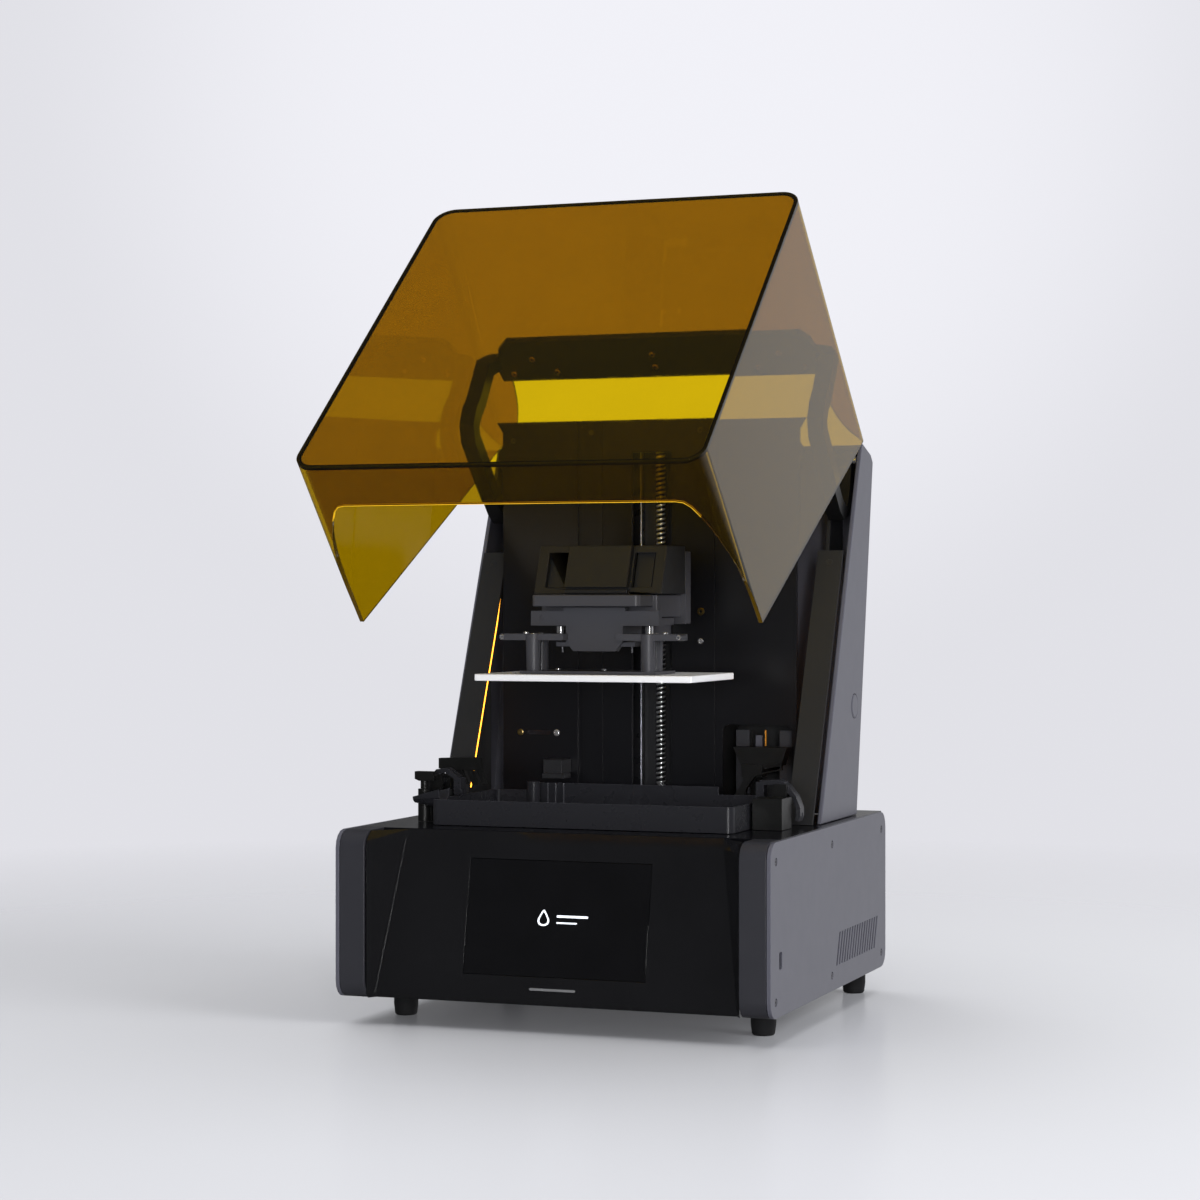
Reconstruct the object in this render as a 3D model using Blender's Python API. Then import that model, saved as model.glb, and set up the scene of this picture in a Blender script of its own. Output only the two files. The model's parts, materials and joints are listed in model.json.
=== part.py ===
"""Desktop resin printer: a box base, a leaning tower, a Z carriage, a vat and a tinted lid.

World frame in metres: +X to the machine's right, +Y to its back, +Z up. The origin lies on
the table, under the middle of the machine with its lid open. Sizes below are in millimetres
and are measured from the front edge of the base (y = 0) and from the table (z = 0).
"""
import bpy
import bmesh
import math
from mathutils import Vector

MM = 0.001
MID_Y = 116.6            # from the base's front edge to the middle of the whole machine
GAP = 0.35               # clearance left between parts that touch

# Base
BASE_W = 360.0
BASE_D = 344.7
BASE_Z0 = 22.0           # underside of the side panels
BASE_Z1 = 155.2          # top of the base
CORNER_R = 14.0
SIDE_T = 3.2
WRAP_W = 21.4            # width of the matte strip beside the front panel
FOOT_R = 10.0
FASCIA_LEAN = (10.0, 32.0)   # depth of the front panel at its bottom and at its top

# Tower
SHELL_X = 168.4
SHELL_T = 3.6
PANEL_Y = 234.0
PANEL_T = 3.0
PANEL_HALF = 132.2
PANEL_TOP = 490.0
RAIL_X = -16.6
SCREW_X = 8.0
SCREW_Y = 247.0

# Lid, open: corners of its side in (y, z), with the half width of the lid at each of them
LID_A = (156.0, 667.0, 159.3)     # top of the front plate
LID_B = (320.0, 477.5, 169.0)     # rear top corner
LID_C = (16.5, 318.6, 168.0)      # rear bottom corner
LID_D = (-113.0, 437.3, 163.2)    # bottom of the front plate
LID_T = 3.4
LID_R = 17.0
HINGE = (307.6, 457.3)            # lid pivot in (y, z)
NOTCH_S = 73.0                    # depth of the notch in the lid's top wall, from its rear edge

# Build platform and vat
PLATE_HALF = 92.5
PLATE_Y = (75.5, 186.0)
PLATE_Z = (272.5, 278.0)
VAT_HALF = 128.3
VAT_Y = (70.0, 205.0)
VAT_Z = (155.8, 176.0)


def clear_scene():
    for old in list(bpy.data.objects):
        bpy.data.objects.remove(old, do_unlink=True)


def world(x, y, z):
    return Vector((x * MM, (y - MID_Y) * MM, z * MM))


def material(name, colour, roughness, metallic=0.0, alpha=1.0):
    mat = bpy.data.materials.new(name)
    mat.use_nodes = True
    shader = mat.node_tree.nodes["Principled BSDF"]
    shader.inputs["Base Color"].default_value = (*colour, 1.0)
    shader.inputs["Roughness"].default_value = roughness
    shader.inputs["Metallic"].default_value = metallic
    shader.inputs["Alpha"].default_value = alpha
    return mat


def add_object(name, bm, mat, origin=(0.0, MID_Y, 0.0)):
    """Turn a bmesh in world millimetres into an object whose origin is at the given point."""
    bmesh.ops.recalc_face_normals(bm, faces=bm.faces)
    centre = Vector(origin)
    for vert in bm.verts:
        vert.co = (vert.co - centre) * MM
    mesh = bpy.data.meshes.new(name)
    bm.to_mesh(mesh)
    bm.free()
    mesh.materials.append(material(name + "_finish", *mat))
    obj = bpy.data.objects.new(name, mesh)
    obj.location = world(*origin)
    bpy.context.scene.collection.objects.link(obj)
    return obj


def bevel(obj, width, segments=1, angle=40.0):
    mod = obj.modifiers.new("edge", "BEVEL")
    mod.width = width * MM
    mod.segments = segments
    mod.limit_method = "ANGLE"
    mod.angle_limit = math.radians(angle)
    return obj


def round_shading(obj, angle=35.0):
    obj.data.shade_smooth()
    obj.data.set_sharp_from_angle(angle=math.radians(angle))
    return obj


def box_bm(x0, x1, y0, y1, z0, z1):
    bm = bmesh.new()
    bmesh.ops.create_cube(bm, size=1.0)
    for vert in bm.verts:
        vert.co.x = x0 if vert.co.x < 0 else x1
        vert.co.y = y0 if vert.co.y < 0 else y1
        vert.co.z = z0 if vert.co.z < 0 else z1
    return bm


def box(name, x, y, z, mat, origin=(0.0, MID_Y, 0.0)):
    return add_object(name, box_bm(*x, *y, *z), mat, origin)


def to_3d(axis, u, v, w):
    """Place a point drawn in the plane across an axis: x takes (y, z), y (x, z), z (x, y)."""
    if axis == "x":
        return Vector((w, u, v))
    if axis == "y":
        return Vector((u, w, v))
    return Vector((u, v, w))


def prism_bm(axis, outline, w0, w1, holes=()):
    """Extrude an outline, with any holes cut through it, from w0 to w1 along an axis."""
    bm = bmesh.new()
    edges = []
    for loop in (outline, *holes):
        verts = [bm.verts.new(to_3d(axis, u, v, w0)) for u, v in loop]
        edges += [bm.edges.new((verts[i - 1], verts[i])) for i in range(len(verts))]
    if holes:
        bmesh.ops.triangle_fill(bm, use_beauty=True, edges=edges)
    else:
        bm.faces.new(bm.verts[:])
    base = bm.faces[:]
    grown = bmesh.ops.extrude_face_region(bm, geom=base)
    moved = [item for item in grown["geom"] if isinstance(item, bmesh.types.BMVert)]
    bmesh.ops.translate(bm, verts=moved, vec=to_3d(axis, 0.0, 0.0, w1 - w0))
    bmesh.ops.recalc_face_normals(bm, faces=bm.faces)
    return bm


def prism(name, axis, outline, w0, w1, mat, holes=(), origin=(0.0, MID_Y, 0.0)):
    return add_object(name, prism_bm(axis, outline, w0, w1, holes), mat, origin)


def rounded(u0, u1, v0, v1, radius, steps=4):
    """Corner points of a rounded rectangle, anticlockwise."""
    points = []
    for cu, cv, start in ((u1 - radius, v0 + radius, -90), (u1 - radius, v1 - radius, 0),
                          (u0 + radius, v1 - radius, 90), (u0 + radius, v0 + radius, 180)):
        for step in range(steps + 1):
            turn = math.radians(start + 90.0 * step / steps)
            points.append((cu + radius * math.cos(turn), cv + radius * math.sin(turn)))
    return points


def circle(cu, cv, radius, count=16):
    return [(cu + radius * math.cos(2 * math.pi * i / count),
             cv + radius * math.sin(2 * math.pi * i / count)) for i in range(count)]


def rectangle(u0, u1, v0, v1):
    return [(u0, v0), (u1, v0), (u1, v1), (u0, v1)]


def boolean_bm(first, others, operation):
    """Join to, or cut from, a closed solid, and give the result back as a bmesh."""
    target = bpy.data.objects.new("target", bpy.data.meshes.new("target"))
    first.to_mesh(target.data)
    first.free()
    bpy.context.scene.collection.objects.link(target)
    helpers = []
    for other in others:
        helper = bpy.data.objects.new("helper", bpy.data.meshes.new("helper"))
        other.to_mesh(helper.data)
        other.free()
        bpy.context.scene.collection.objects.link(helper)
        mod = target.modifiers.new("step", "BOOLEAN")
        mod.operation = operation
        mod.solver = "EXACT"
        mod.object = helper
        helpers.append(helper)
    graph = bpy.context.evaluated_depsgraph_get()
    mesh = bpy.data.meshes.new_from_object(target.evaluated_get(graph))
    result = bmesh.new()
    result.from_mesh(mesh)
    bmesh.ops.remove_doubles(result, verts=result.verts, dist=0.0005)
    for helper in helpers + [target]:
        bpy.data.objects.remove(helper, do_unlink=True)
    return result


def join(first, *others):
    return boolean_bm(first, others, "UNION")


def cut(first, *others):
    return boolean_bm(first, others, "DIFFERENCE")


def disc_bm(axis, cu, cv, radius, w0, w1, count=20):
    return prism_bm(axis, circle(cu, cv, radius, count), w0, w1)


def turned_bm(axis, cu, cv, profile, count=20):
    """Turn a closed (radius, height) profile about an axis through (cu, cv)."""
    bm = bmesh.new()
    rings = []
    for radius, height in profile:
        if radius < 1e-6:
            rings.append([bm.verts.new(to_3d(axis, cu, cv, height))])
        else:
            rings.append([bm.verts.new(to_3d(axis, u, v, height))
                          for u, v in circle(cu, cv, radius, count)])
    closed = all(radius > 1e-6 for radius, height in profile)
    pairs = list(zip(rings, rings[1:]))
    if closed:
        pairs.append((rings[-1], rings[0]))
    for low, high in pairs:
        for i in range(count):
            ends = [low[i - 1] if len(low) > 1 else low[0], low[i] if len(low) > 1 else low[0],
                    high[i] if len(high) > 1 else high[0],
                    high[i - 1] if len(high) > 1 else high[0]]
            corners = list(dict.fromkeys(ends))
            if len(corners) > 2:
                bm.faces.new(corners)
    bmesh.ops.recalc_face_normals(bm, faces=bm.faces)
    return bm


def grid_slab_bm(front, back, skip=()):
    """Close the space between two matching grids of points, leaving out the skipped cells."""
    bm = bmesh.new()
    rows = len(front)
    cols = len(front[0])
    face = [[bm.verts.new(Vector(p)) for p in row] for row in front]
    rear = [[bm.verts.new(Vector(p)) for p in row] for row in back]
    cells = [(r, c) for r in range(rows - 1) for c in range(cols - 1) if (r, c) not in skip]
    for r, c in cells:
        bm.faces.new((face[r][c], face[r][c + 1], face[r + 1][c + 1], face[r + 1][c]))
        bm.faces.new((rear[r][c], rear[r + 1][c], rear[r + 1][c + 1], rear[r][c + 1]))
        sides = (((r, c), (r, c + 1), (r - 1, c)), ((r, c + 1), (r + 1, c + 1), (r, c + 1)),
                 ((r + 1, c + 1), (r + 1, c), (r + 1, c)), ((r + 1, c), (r, c), (r, c - 1)))
        for (r0, c0), (r1, c1), beside in sides:
            if beside not in cells:
                bm.faces.new((face[r0][c0], face[r1][c1], rear[r1][c1], rear[r0][c0]))
    for vert in list(bm.verts):
        if not vert.link_faces:
            bm.verts.remove(vert)
    bmesh.ops.recalc_face_normals(bm, faces=bm.faces)
    return bm


def band(points, half):
    """Outline of a strip of constant width that follows a line of points."""
    left = []
    right = []
    for i, (u, v) in enumerate(points):
        u0, v0 = points[max(i - 1, 0)]
        u1, v1 = points[min(i + 1, len(points) - 1)]
        size = math.hypot(u1 - u0, v1 - v0)
        nu, nv = -(v1 - v0) / size, (u1 - u0) / size
        left.append((u + nu * half, v + nv * half))
        right.append((u - nu * half, v - nv * half))
    return left + right[::-1]


def shell_front(z):
    """Depth of the tower shells' leaning front edge at height z."""
    return 180.0 + (z - 152.9) * 0.4053


def shell_rear(z):
    return 291.5 + (z - 153.0) * 0.1787


def trim_front(z):
    return 171.5 + (z - 156.0) * 0.4205


# Finishes: colour, roughness, metallic, alpha
PAINT = ((0.16, 0.16, 0.19), 0.45, 0.3)
MATTE = ((0.025, 0.025, 0.028), 0.55, 0.0)
GLOSS = ((0.008, 0.008, 0.009), 0.12, 0.0)
SCREEN = ((0.004, 0.004, 0.005), 0.06, 0.0)
RUBBER = ((0.012, 0.012, 0.012), 0.9, 0.0)
STEEL = ((0.6, 0.6, 0.62), 0.3, 1.0)
ALUMINIUM = ((0.75, 0.75, 0.77), 0.35, 1.0)
BLACK_METAL = ((0.03, 0.03, 0.033), 0.4, 0.6)
AMBER = ((0.55, 0.3, 0.01), 0.08, 0.0, 0.5)
GLOW = ((1.0, 0.62, 0.12), 0.4, 0.0)
BOARD = ((0.02, 0.12, 0.05), 0.5, 0.0)
FILM = ((0.8, 0.85, 0.9), 0.1, 0.0, 0.4)


def build_base():
    outline = rounded(0.0, BASE_D, BASE_Z0, BASE_Z1, CORNER_R)
    vent = []
    count = 16
    for i in range(count):
        foot = 184.5 + i * (308.0 - 184.5) / (count - 0.4)
        vent.append([(foot, 41.0), (foot + 4.0, 41.0), (foot + 14.4, 67.2), (foot + 10.4, 67.2)])
    usb = rounded(22.8, 30.5, 58.0, 71.0, 1.2, 1)
    half = BASE_W / 2
    prism("side_panel_right", "x", outline, half - SIDE_T, half, PAINT, (*vent, usb))
    prism("side_panel_left", "x", outline, -half, -half + SIDE_T, PAINT, vent)
    inner = half - SIDE_T - GAP
    for sign, side in ((-1, "left"), (1, "right")):
        edge = inner - WRAP_W
        outer = [(38.0, BASE_Z0)] + rounded(0.0, 60.0, BASE_Z0, BASE_Z1, CORNER_R)[15:][::-1]
        outer += rounded(0.0, 60.0, BASE_Z0, BASE_Z1, CORNER_R)[10:15][::-1]
        outer += [(38.0, BASE_Z1)]
        thick = 2.6
        inside = rounded(thick, 60.0, BASE_Z0 + thick, BASE_Z1 - thick, CORNER_R - thick)
        back = [(38.0, BASE_Z1 - thick)] + inside[10:15] + inside[15:]
        back += [(38.0, BASE_Z0 + thick)]
        prism("front_wrap_" + side, "x", outer + back, sign * edge, sign * inner, MATTE)

    # Floor pan with a low rim
    tray = box_bm(-inner, inner, 38.5, 341.0, 23.5, 46.0)
    hollow = box_bm(-inner + 2.0, inner - 2.0, 40.5, 339.0, 26.0, 60.0)
    posts = [disc_bm("z", x, y, 3.0, 25.0, 33.6, 8) for x in (-54, 54) for y in (232, 300)]
    add_object("floor_pan", join(cut(tray, hollow), *posts), BLACK_METAL)

    # Deck with the window over the screen and the hole for the motor's shaft
    deck_holes = (rectangle(-99.0, 99.0, 70.5, 191.0), circle(SCREW_X, SCREW_Y, 4.0, 12))
    prism("top_deck", "z", rectangle(-inner, inner, 38.4, 344.0), BASE_Z1 - 3.0, BASE_Z1, MATTE,
          deck_holes)

    # Rear panel with openings for the inlet, the switch and the fan
    fan_x, fan_z = 95.0, 98.0
    holes = [rectangle(-120.5, -90.5, 55.5, 80.5), rectangle(-76.6, -64.4, 58.0, 78.0)]
    for ring in (12.0, 24.0):
        for i in range(6):
            start = math.radians(60 * i + 6)
            arc = [start + math.radians(8.0) * k for k in range(7)]
            outer = [(fan_x + (ring + 8) * math.cos(a), fan_z + (ring + 8) * math.sin(a))
                     for a in arc]
            inside = [(fan_x + ring * math.cos(a), fan_z + ring * math.sin(a))
                      for a in arc[::-1]]
            holes.append(outer + inside)
    prism("rear_panel", "y", rectangle(-inner, inner, 46.5, BASE_Z1 - 3.0 - GAP), 339.5, 342.0,
          PAINT, holes)

    # Feet
    profile = [(0.0, 0.0), (FOOT_R - 2.0, 0.0), (FOOT_R - 1.0, 1.2), (FOOT_R, 9.0),
               (FOOT_R, 23.5 - GAP), (0.0, 23.5 - GAP)]
    for side, x, y in (("front_left", -152.0, 74.0), ("front_right", 152.0, 74.0),
                       ("rear_left", -158.0, 321.0), ("rear_right", 158.0, 321.0)):
        round_shading(add_object("foot_" + side, turned_bm("z", x, y, profile, 20), RUBBER))


def fascia_point(x, z, back=0.0):
    low, high = FASCIA_LEAN
    return (x, low + (z - 26.0) * (high - low) / (147.0 - 26.0) + back, z)


def build_front():
    half = BASE_W / 2 - SIDE_T - GAP - WRAP_W - GAP
    z_low, z_screen0, z_screen1, z_high = 26.0, 44.5, 134.0, 147.0
    x_screen = 76.0

    def tuck(x):
        return x if abs(x) <= x_screen else x * 0.992

    front = []
    back = []
    for z in (z_low, z_screen0, z_screen1, z_high):
        share = (z - z_low) / (z_high - z_low)
        x_face = half - 4.5 - share * 17.1
        y_face = fascia_point(0, z)[1]
        row = [(-half, 3.2, z), (-x_face, y_face, z), (-x_screen, y_face, z),
               (x_screen, y_face, z), (x_face, y_face, z), (half, 3.2, z)]
        front.append(row)
        back.append([(tuck(x), y + 3.6, z) for x, y, z in row])
    top = [(-half, 12.0, 154.9), (-half + 23.5, 37.4, 154.9), (-x_screen, 37.4, 154.9),
           (x_screen, 37.4, 154.9), (half - 23.5, 37.4, 154.9), (half, 12.0, 154.9)]
    front.append(top)
    back.append([(tuck(x), y + 0.6, z - 3.2) for x, y, z in top])
    low_lip = [(x * 0.998, y + 2.2, 22.6) for x, y, z in front[0]]
    front.insert(0, low_lip)
    back.insert(0, [(tuck(x), y + 2.4, 24.0) for x, y, z in low_lip])
    add_object("front_fascia", grid_slab_bm(front, back, skip={(2, 2)}), GLOSS)

    face = []
    rear = []
    inset = GAP
    for z in (z_screen0 + inset, z_screen1 - inset):
        face.append([(x, fascia_point(0, z, 0.25)[1], z)
                     for x in (-x_screen + inset, x_screen - inset)])
        rear.append([(x, fascia_point(0, z, 6.5)[1], z)
                     for x in (-x_screen + inset, x_screen - inset)])
    add_object("touch_screen", grid_slab_bm(face, rear), SCREEN)


def build_electronics():
    # Masking screen in the deck window
    box("lcd_mask", (-98.6, 98.6), (70.9, 190.6), (151.0, 154.9), SCREEN)
    # Light engine: an open box that tapers towards its lamp
    light_mid = 130.75
    funnels = []
    for wall, z0, z1 in ((0.0, 62.0, 148.0), (2.5, 58.0, 152.0)):
        low = rectangle(-62 + wall, 62 - wall, light_mid - 40 + wall, light_mid + 40 - wall)
        high = rectangle(-93 + wall, 93 - wall, light_mid - 56 + wall, light_mid + 56 - wall)
        bm = bmesh.new()
        bottom = [bm.verts.new((x, y, z0)) for x, y in low]
        upper = [bm.verts.new((x, y, z1)) for x, y in high]
        bm.faces.new(bottom[::-1])
        bm.faces.new(upper)
        for i in range(4):
            bm.faces.new((bottom[i - 1], bottom[i], upper[i], upper[i - 1]))
        bmesh.ops.recalc_face_normals(bm, faces=bm.faces)
        funnels.append(bm)
    add_object("light_hood", cut(funnels[0], funnels[1]), MATTE)
    box("led_array", (-56, 56), (light_mid - 34, light_mid + 34), (58.2, 61.0), BOARD)
    fins = box_bm(-62, 62, light_mid - 40, light_mid + 40, 50.5, 57.8)
    slots = [box_bm(-62 + 6 + 12 * i, -62 + 12 + 12 * i, light_mid - 60, light_mid + 60, 30, 54.5)
             for i in range(10)]
    lower = box_bm(-62, 62, light_mid - 40, light_mid + 40, 40.0, 51.0)
    add_object("heat_sink", cut(join(fins, lower), *slots), ALUMINIUM)
    # Power supply, control board, inlet, switch and fan
    supply = box("power_supply", (-160, -100), (232, 330), (27.0, 52.0), ALUMINIUM)
    bevel(supply, 1.0)
    plate = box_bm(-60, 60, 226, 306, 34.0, 35.8)
    chips = [box_bm(-48, -20, 240, 262, 35.0, 41.0), box_bm(-5, 13, 236, 254, 35.0, 38.5),
             box_bm(22, 52, 284, 300, 35.0, 45.0), box_bm(-40, -12, 280, 300, 35.0, 47.0)]
    add_object("control_board", join(plate, *chips), BOARD)
    inlet = box_bm(-120, -91, 322, 343.5, 56.0, 80.0)
    socket = box_bm(-116, -95, 330, 350, 60.0, 76.0)
    pins = [box_bm(-111.0, -109.0, 329.0, 340.0, 66.0, 70.0),
            box_bm(-102.0, -100.0, 329.0, 340.0, 66.0, 70.0),
            box_bm(-106.5, -104.5, 329.0, 340.0, 61.5, 65.0)]
    add_object("power_inlet", join(cut(inlet, socket), *pins), MATTE)
    rocker = [(334.0, 60.4), (341.5, 59.6), (343.6, 68.0), (346.2, 76.4), (334.0, 75.6)]
    prism("power_switch", "x", rocker, -76.0, -65.0, GLOSS, origin=(-70.5, 338.0, 68.0))
    fan_x, fan_z = 95.0, 98.0
    ring = prism_bm("y", rounded(fan_x - 40, fan_x + 40, fan_z - 40, fan_z + 40, 4.0, 2),
                    319.0, 339.0, (circle(fan_x, fan_z, 37.5, 28),))
    spokes = [box_bm(fan_x - 38.5, fan_x + 38.5, 319.0, 321.0, fan_z - 1.5, fan_z + 1.5),
              box_bm(fan_x - 1.5, fan_x + 1.5, 319.0, 321.0, fan_z - 38.5, fan_z + 38.5),
              disc_bm("y", fan_x, fan_z, 12.0, 319.0, 322.0, 16)]
    add_object("fan_frame", join(ring, *spokes), MATTE)
    hub = disc_bm("y", fan_x, fan_z, 13.0, 323.0, 337.0, 18)
    blades = []
    for i in range(7):
        turn = 2 * math.pi * i / 7
        blade = box_bm(11.0, 35.0, -0.8, 0.8, 324.0, 336.0)
        for vert in blade.verts:
            span, thick, depth = vert.co
            sweep = turn + thick / max(span, 1.0) + (depth - 330.0) * 0.035
            vert.co = Vector((fan_x + span * math.cos(sweep), depth,
                              fan_z + span * math.sin(sweep)))
        bmesh.ops.recalc_face_normals(blade, faces=blade.faces)
        blades.append(blade)
    add_object("fan_rotor", join(hub, *blades), MATTE, (fan_x, 330.0, fan_z))


def build_tower():
    z0 = BASE_Z1 + GAP
    outline = [(shell_front(z0), z0), (shell_rear(z0), z0), (shell_rear(457.6), 457.6),
               (339.5, 463.5), (311.5, 472.0), (shell_front(472.0), 470.5)]
    prism("tower_shell_left", "x", outline, -SHELL_X, -SHELL_X + SHELL_T, PAINT)
    prism("tower_shell_right", "x", outline, SHELL_X - SHELL_T, SHELL_X, PAINT,
          (circle(285.1, 248.0, 10.4, 20),))
    inner = SHELL_X - SHELL_T - GAP
    cover = [(shell_rear(z0) - 0.4, z0), (shell_rear(457.0) - 0.4, 457.0), (339.0, 462.6),
             (312.0, 470.6), (311.2, 467.6), (337.4, 459.8), (shell_rear(455.0) - 3.2, 455.0),
             (shell_rear(z0) - 3.2, z0)]
    slots = []
    for i in range(9):
        slots.append(box_bm(-90, 90, 280, 360, 200 + 14 * i, 205 + 14 * i))
    add_object("tower_back_cover", cut(prism_bm("x", cover, -inner, inner), *slots), PAINT)

    # Front panel of the tower, with the carriage slot and the feed recess
    ear = 5.4
    half = PANEL_HALF
    top = PANEL_TOP
    panel = [(-half, z0), (half, z0), (half, top - 38), (half + 4, top - 32),
             (half + 4, top - 26), (half, top - 20), (half, top - 9), (half + ear, top),
             (-half - ear, top), (-half, top - 9), (-half, top - 20), (-half - 4, top - 26),
             (-half - 4, top - 32), (-half, top - 38)]
    holes = (rectangle(-13.4, 22.3, 176.0, 462.0), rounded(67.5, 128.0, 172.0, 233.0, 5.0, 2),
             rounded(-110.0, -88.0, 221.8, 225.4, 1.6, 2))
    prism("tower_front_panel", "y", panel, PANEL_Y, PANEL_Y + PANEL_T, GLOSS, holes)
    # Column that carries the rail, standing on the deck
    column = rectangle(-46.0, 46.0, 258.0, 286.0)
    hollow = rectangle(-42.0, 42.0, 262.0, 282.0)
    prism("tower_column", "z", column, z0, 470.0, BLACK_METAL, (hollow,))
    box("linear_rail", (RAIL_X - 6, RAIL_X + 6), (250.0, 257.6), (170.0, 466.0), STEEL)
    # Leaning trims beside the panel, with a lit strip along their inner edge
    for sign, side in ((-1, "left"), (1, "right")):
        lo, hi = 143.8, 163.6
        z1 = 379.6
        front = [(trim_front(z0), z0), (trim_front(z0) + 2.6, z0), (trim_front(z1) + 2.6, z1),
                 (trim_front(z1), z1)]
        face = prism_bm("x", front, sign * (lo - 2.0), sign * hi)
        web_line = [(trim_front(z0) + 1.0, z0), (236.0, z0), (236.0, 300.0), (290.0, z1),
                    (trim_front(z1) + 1.0, z1)]
        web = prism_bm("x", web_line, sign * (lo + 0.6), sign * (lo + 3.0))
        behind = 2.6 + GAP
        strip = [(trim_front(178.0) + behind, 178.0), (trim_front(178.0) + 7.0, 178.0),
                 (trim_front(318.0) + 7.0, 318.0), (trim_front(342.0) + 4.2, 342.0),
                 (trim_front(342.0) + behind, 342.0)]
        prism("led_strip_" + side, "x", strip, sign * (lo - 1.2), sign * (lo + 0.6 - GAP), GLOW)
        # Hinge bracket on top of the trim, with the pin that the lid's arm turns on
        plate = [(282.0, 372.0), (326.0, 372.0), (333.0, 450.0), (320.0, 461.0),
                 (306.0, 463.0), (299.5, 452.0)]
        hole = (circle(HINGE[0], HINGE[1], 3.4, 16),)
        bracket = prism_bm("x", plate, sign * (lo - 0.4), sign * (lo + 2.6), hole)
        add_object("cheek_trim_" + side, join(face, web, bracket), MATTE)
        pin = disc_bm("x", HINGE[0], HINGE[1], 3.0, sign * 141.0, sign * 164.2, 16)
        round_shading(add_object("hinge_pin_" + side, pin, STEEL))
    # Round cap in the right shell
    cap = turned_bm("x", 285.1, 248.0, [(0.0, 160.0), (8.5, 160.0), (8.5, 165.0), (10.0, 165.0),
                                        (10.0, 168.2), (8.8, 168.9), (0.0, 168.9)], 20)
    round_shading(add_object("side_button", cap, PAINT, (164.0, 285.1, 248.0)))
    # Recess behind the opening, with its feed funnel
    bin_box = box_bm(64.0, 131.5, PANEL_Y + PANEL_T + GAP, 284.0, 168.0, 237.0)
    inside = box_bm(66.0, 129.5, PANEL_Y, 282.0, 170.0, 235.0)
    add_object("feed_recess", cut(bin_box, inside), MATTE)
    funnel = [(83.5, 215.5), (130.0, 215.5), (127.5, 207.5), (125.5, 200.5), (108.5, 197.0),
              (108.5, 190.5), (91.0, 190.5), (90.5, 200.0), (87.0, 207.5)]
    foot = box_bm(92.0, 107.0, 215.0, 281.6, 192.0, 198.0)
    # Nozzle in front of the funnel, with a slanting hollow arm
    nozzle = [(93.6, 201.7), (109.6, 200.6), (109.6, 193.4), (103.7, 191.2), (100.5, 186.9),
              (96.2, 180.6), (95.6, 177.5), (97.4, 174.0), (85.5, 175.2), (90.4, 181.5),
              (93.6, 187.8)]
    arm = [(109.1, 200.7), (127.0, 203.9), (127.0, 197.1), (109.1, 193.3)]
    bore = [(110.2, 199.7), (126.0, 202.5), (126.0, 198.1), (110.2, 194.8)]
    head = join(prism_bm("y", nozzle, 207.0, 212.6), prism_bm("y", arm, 207.0, 211.0))
    head = cut(head, prism_bm("y", bore, 200.0, 215.0))
    add_object("feed_funnel", join(prism_bm("y", funnel, 212.0, 226.0), foot, head), BLACK_METAL)


def build_drive():
    z_low, z_high = 178.0, 462.0
    # Lead screw with its coupler and shaft: the thread is a stack of rounded ridges
    z_shaft = 151.8 + GAP
    z_coupler = 158.0
    profile = [(0.0, z_shaft), (2.5, z_shaft), (2.5, z_coupler), (8.0, z_coupler),
               (8.0, z_low), (3.2, z_low)]
    turns = int((z_high - z_low - 20) / 8.0)
    for i in range(turns):
        z = z_low + 10 + 8.0 * i
        profile += [(3.2, z + 1.5), (4.0, z + 3.0), (4.0, z + 5.0), (3.2, z + 6.5)]
    profile += [(3.2, z_high + 7.0), (0.0, z_high + 7.0)]
    round_shading(add_object("lead_screw", turned_bm("z", SCREW_X, SCREW_Y, profile, 12), STEEL,
                             (SCREW_X, SCREW_Y, z_shaft)))
    bevel(box("z_motor", (SCREW_X - 21, SCREW_X + 21), (226.5, 268.0),
                      (104.0, 151.8), BLACK_METAL), 3.0)
    upper = prism_bm("z", rectangle(SCREW_X - 14, SCREW_X + 14, 238.6, 257.2), 464.0, 470.0,
                     (circle(SCREW_X, SCREW_Y, 4.4, 16),))
    add_object("screw_bearing", upper, STEEL)


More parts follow.
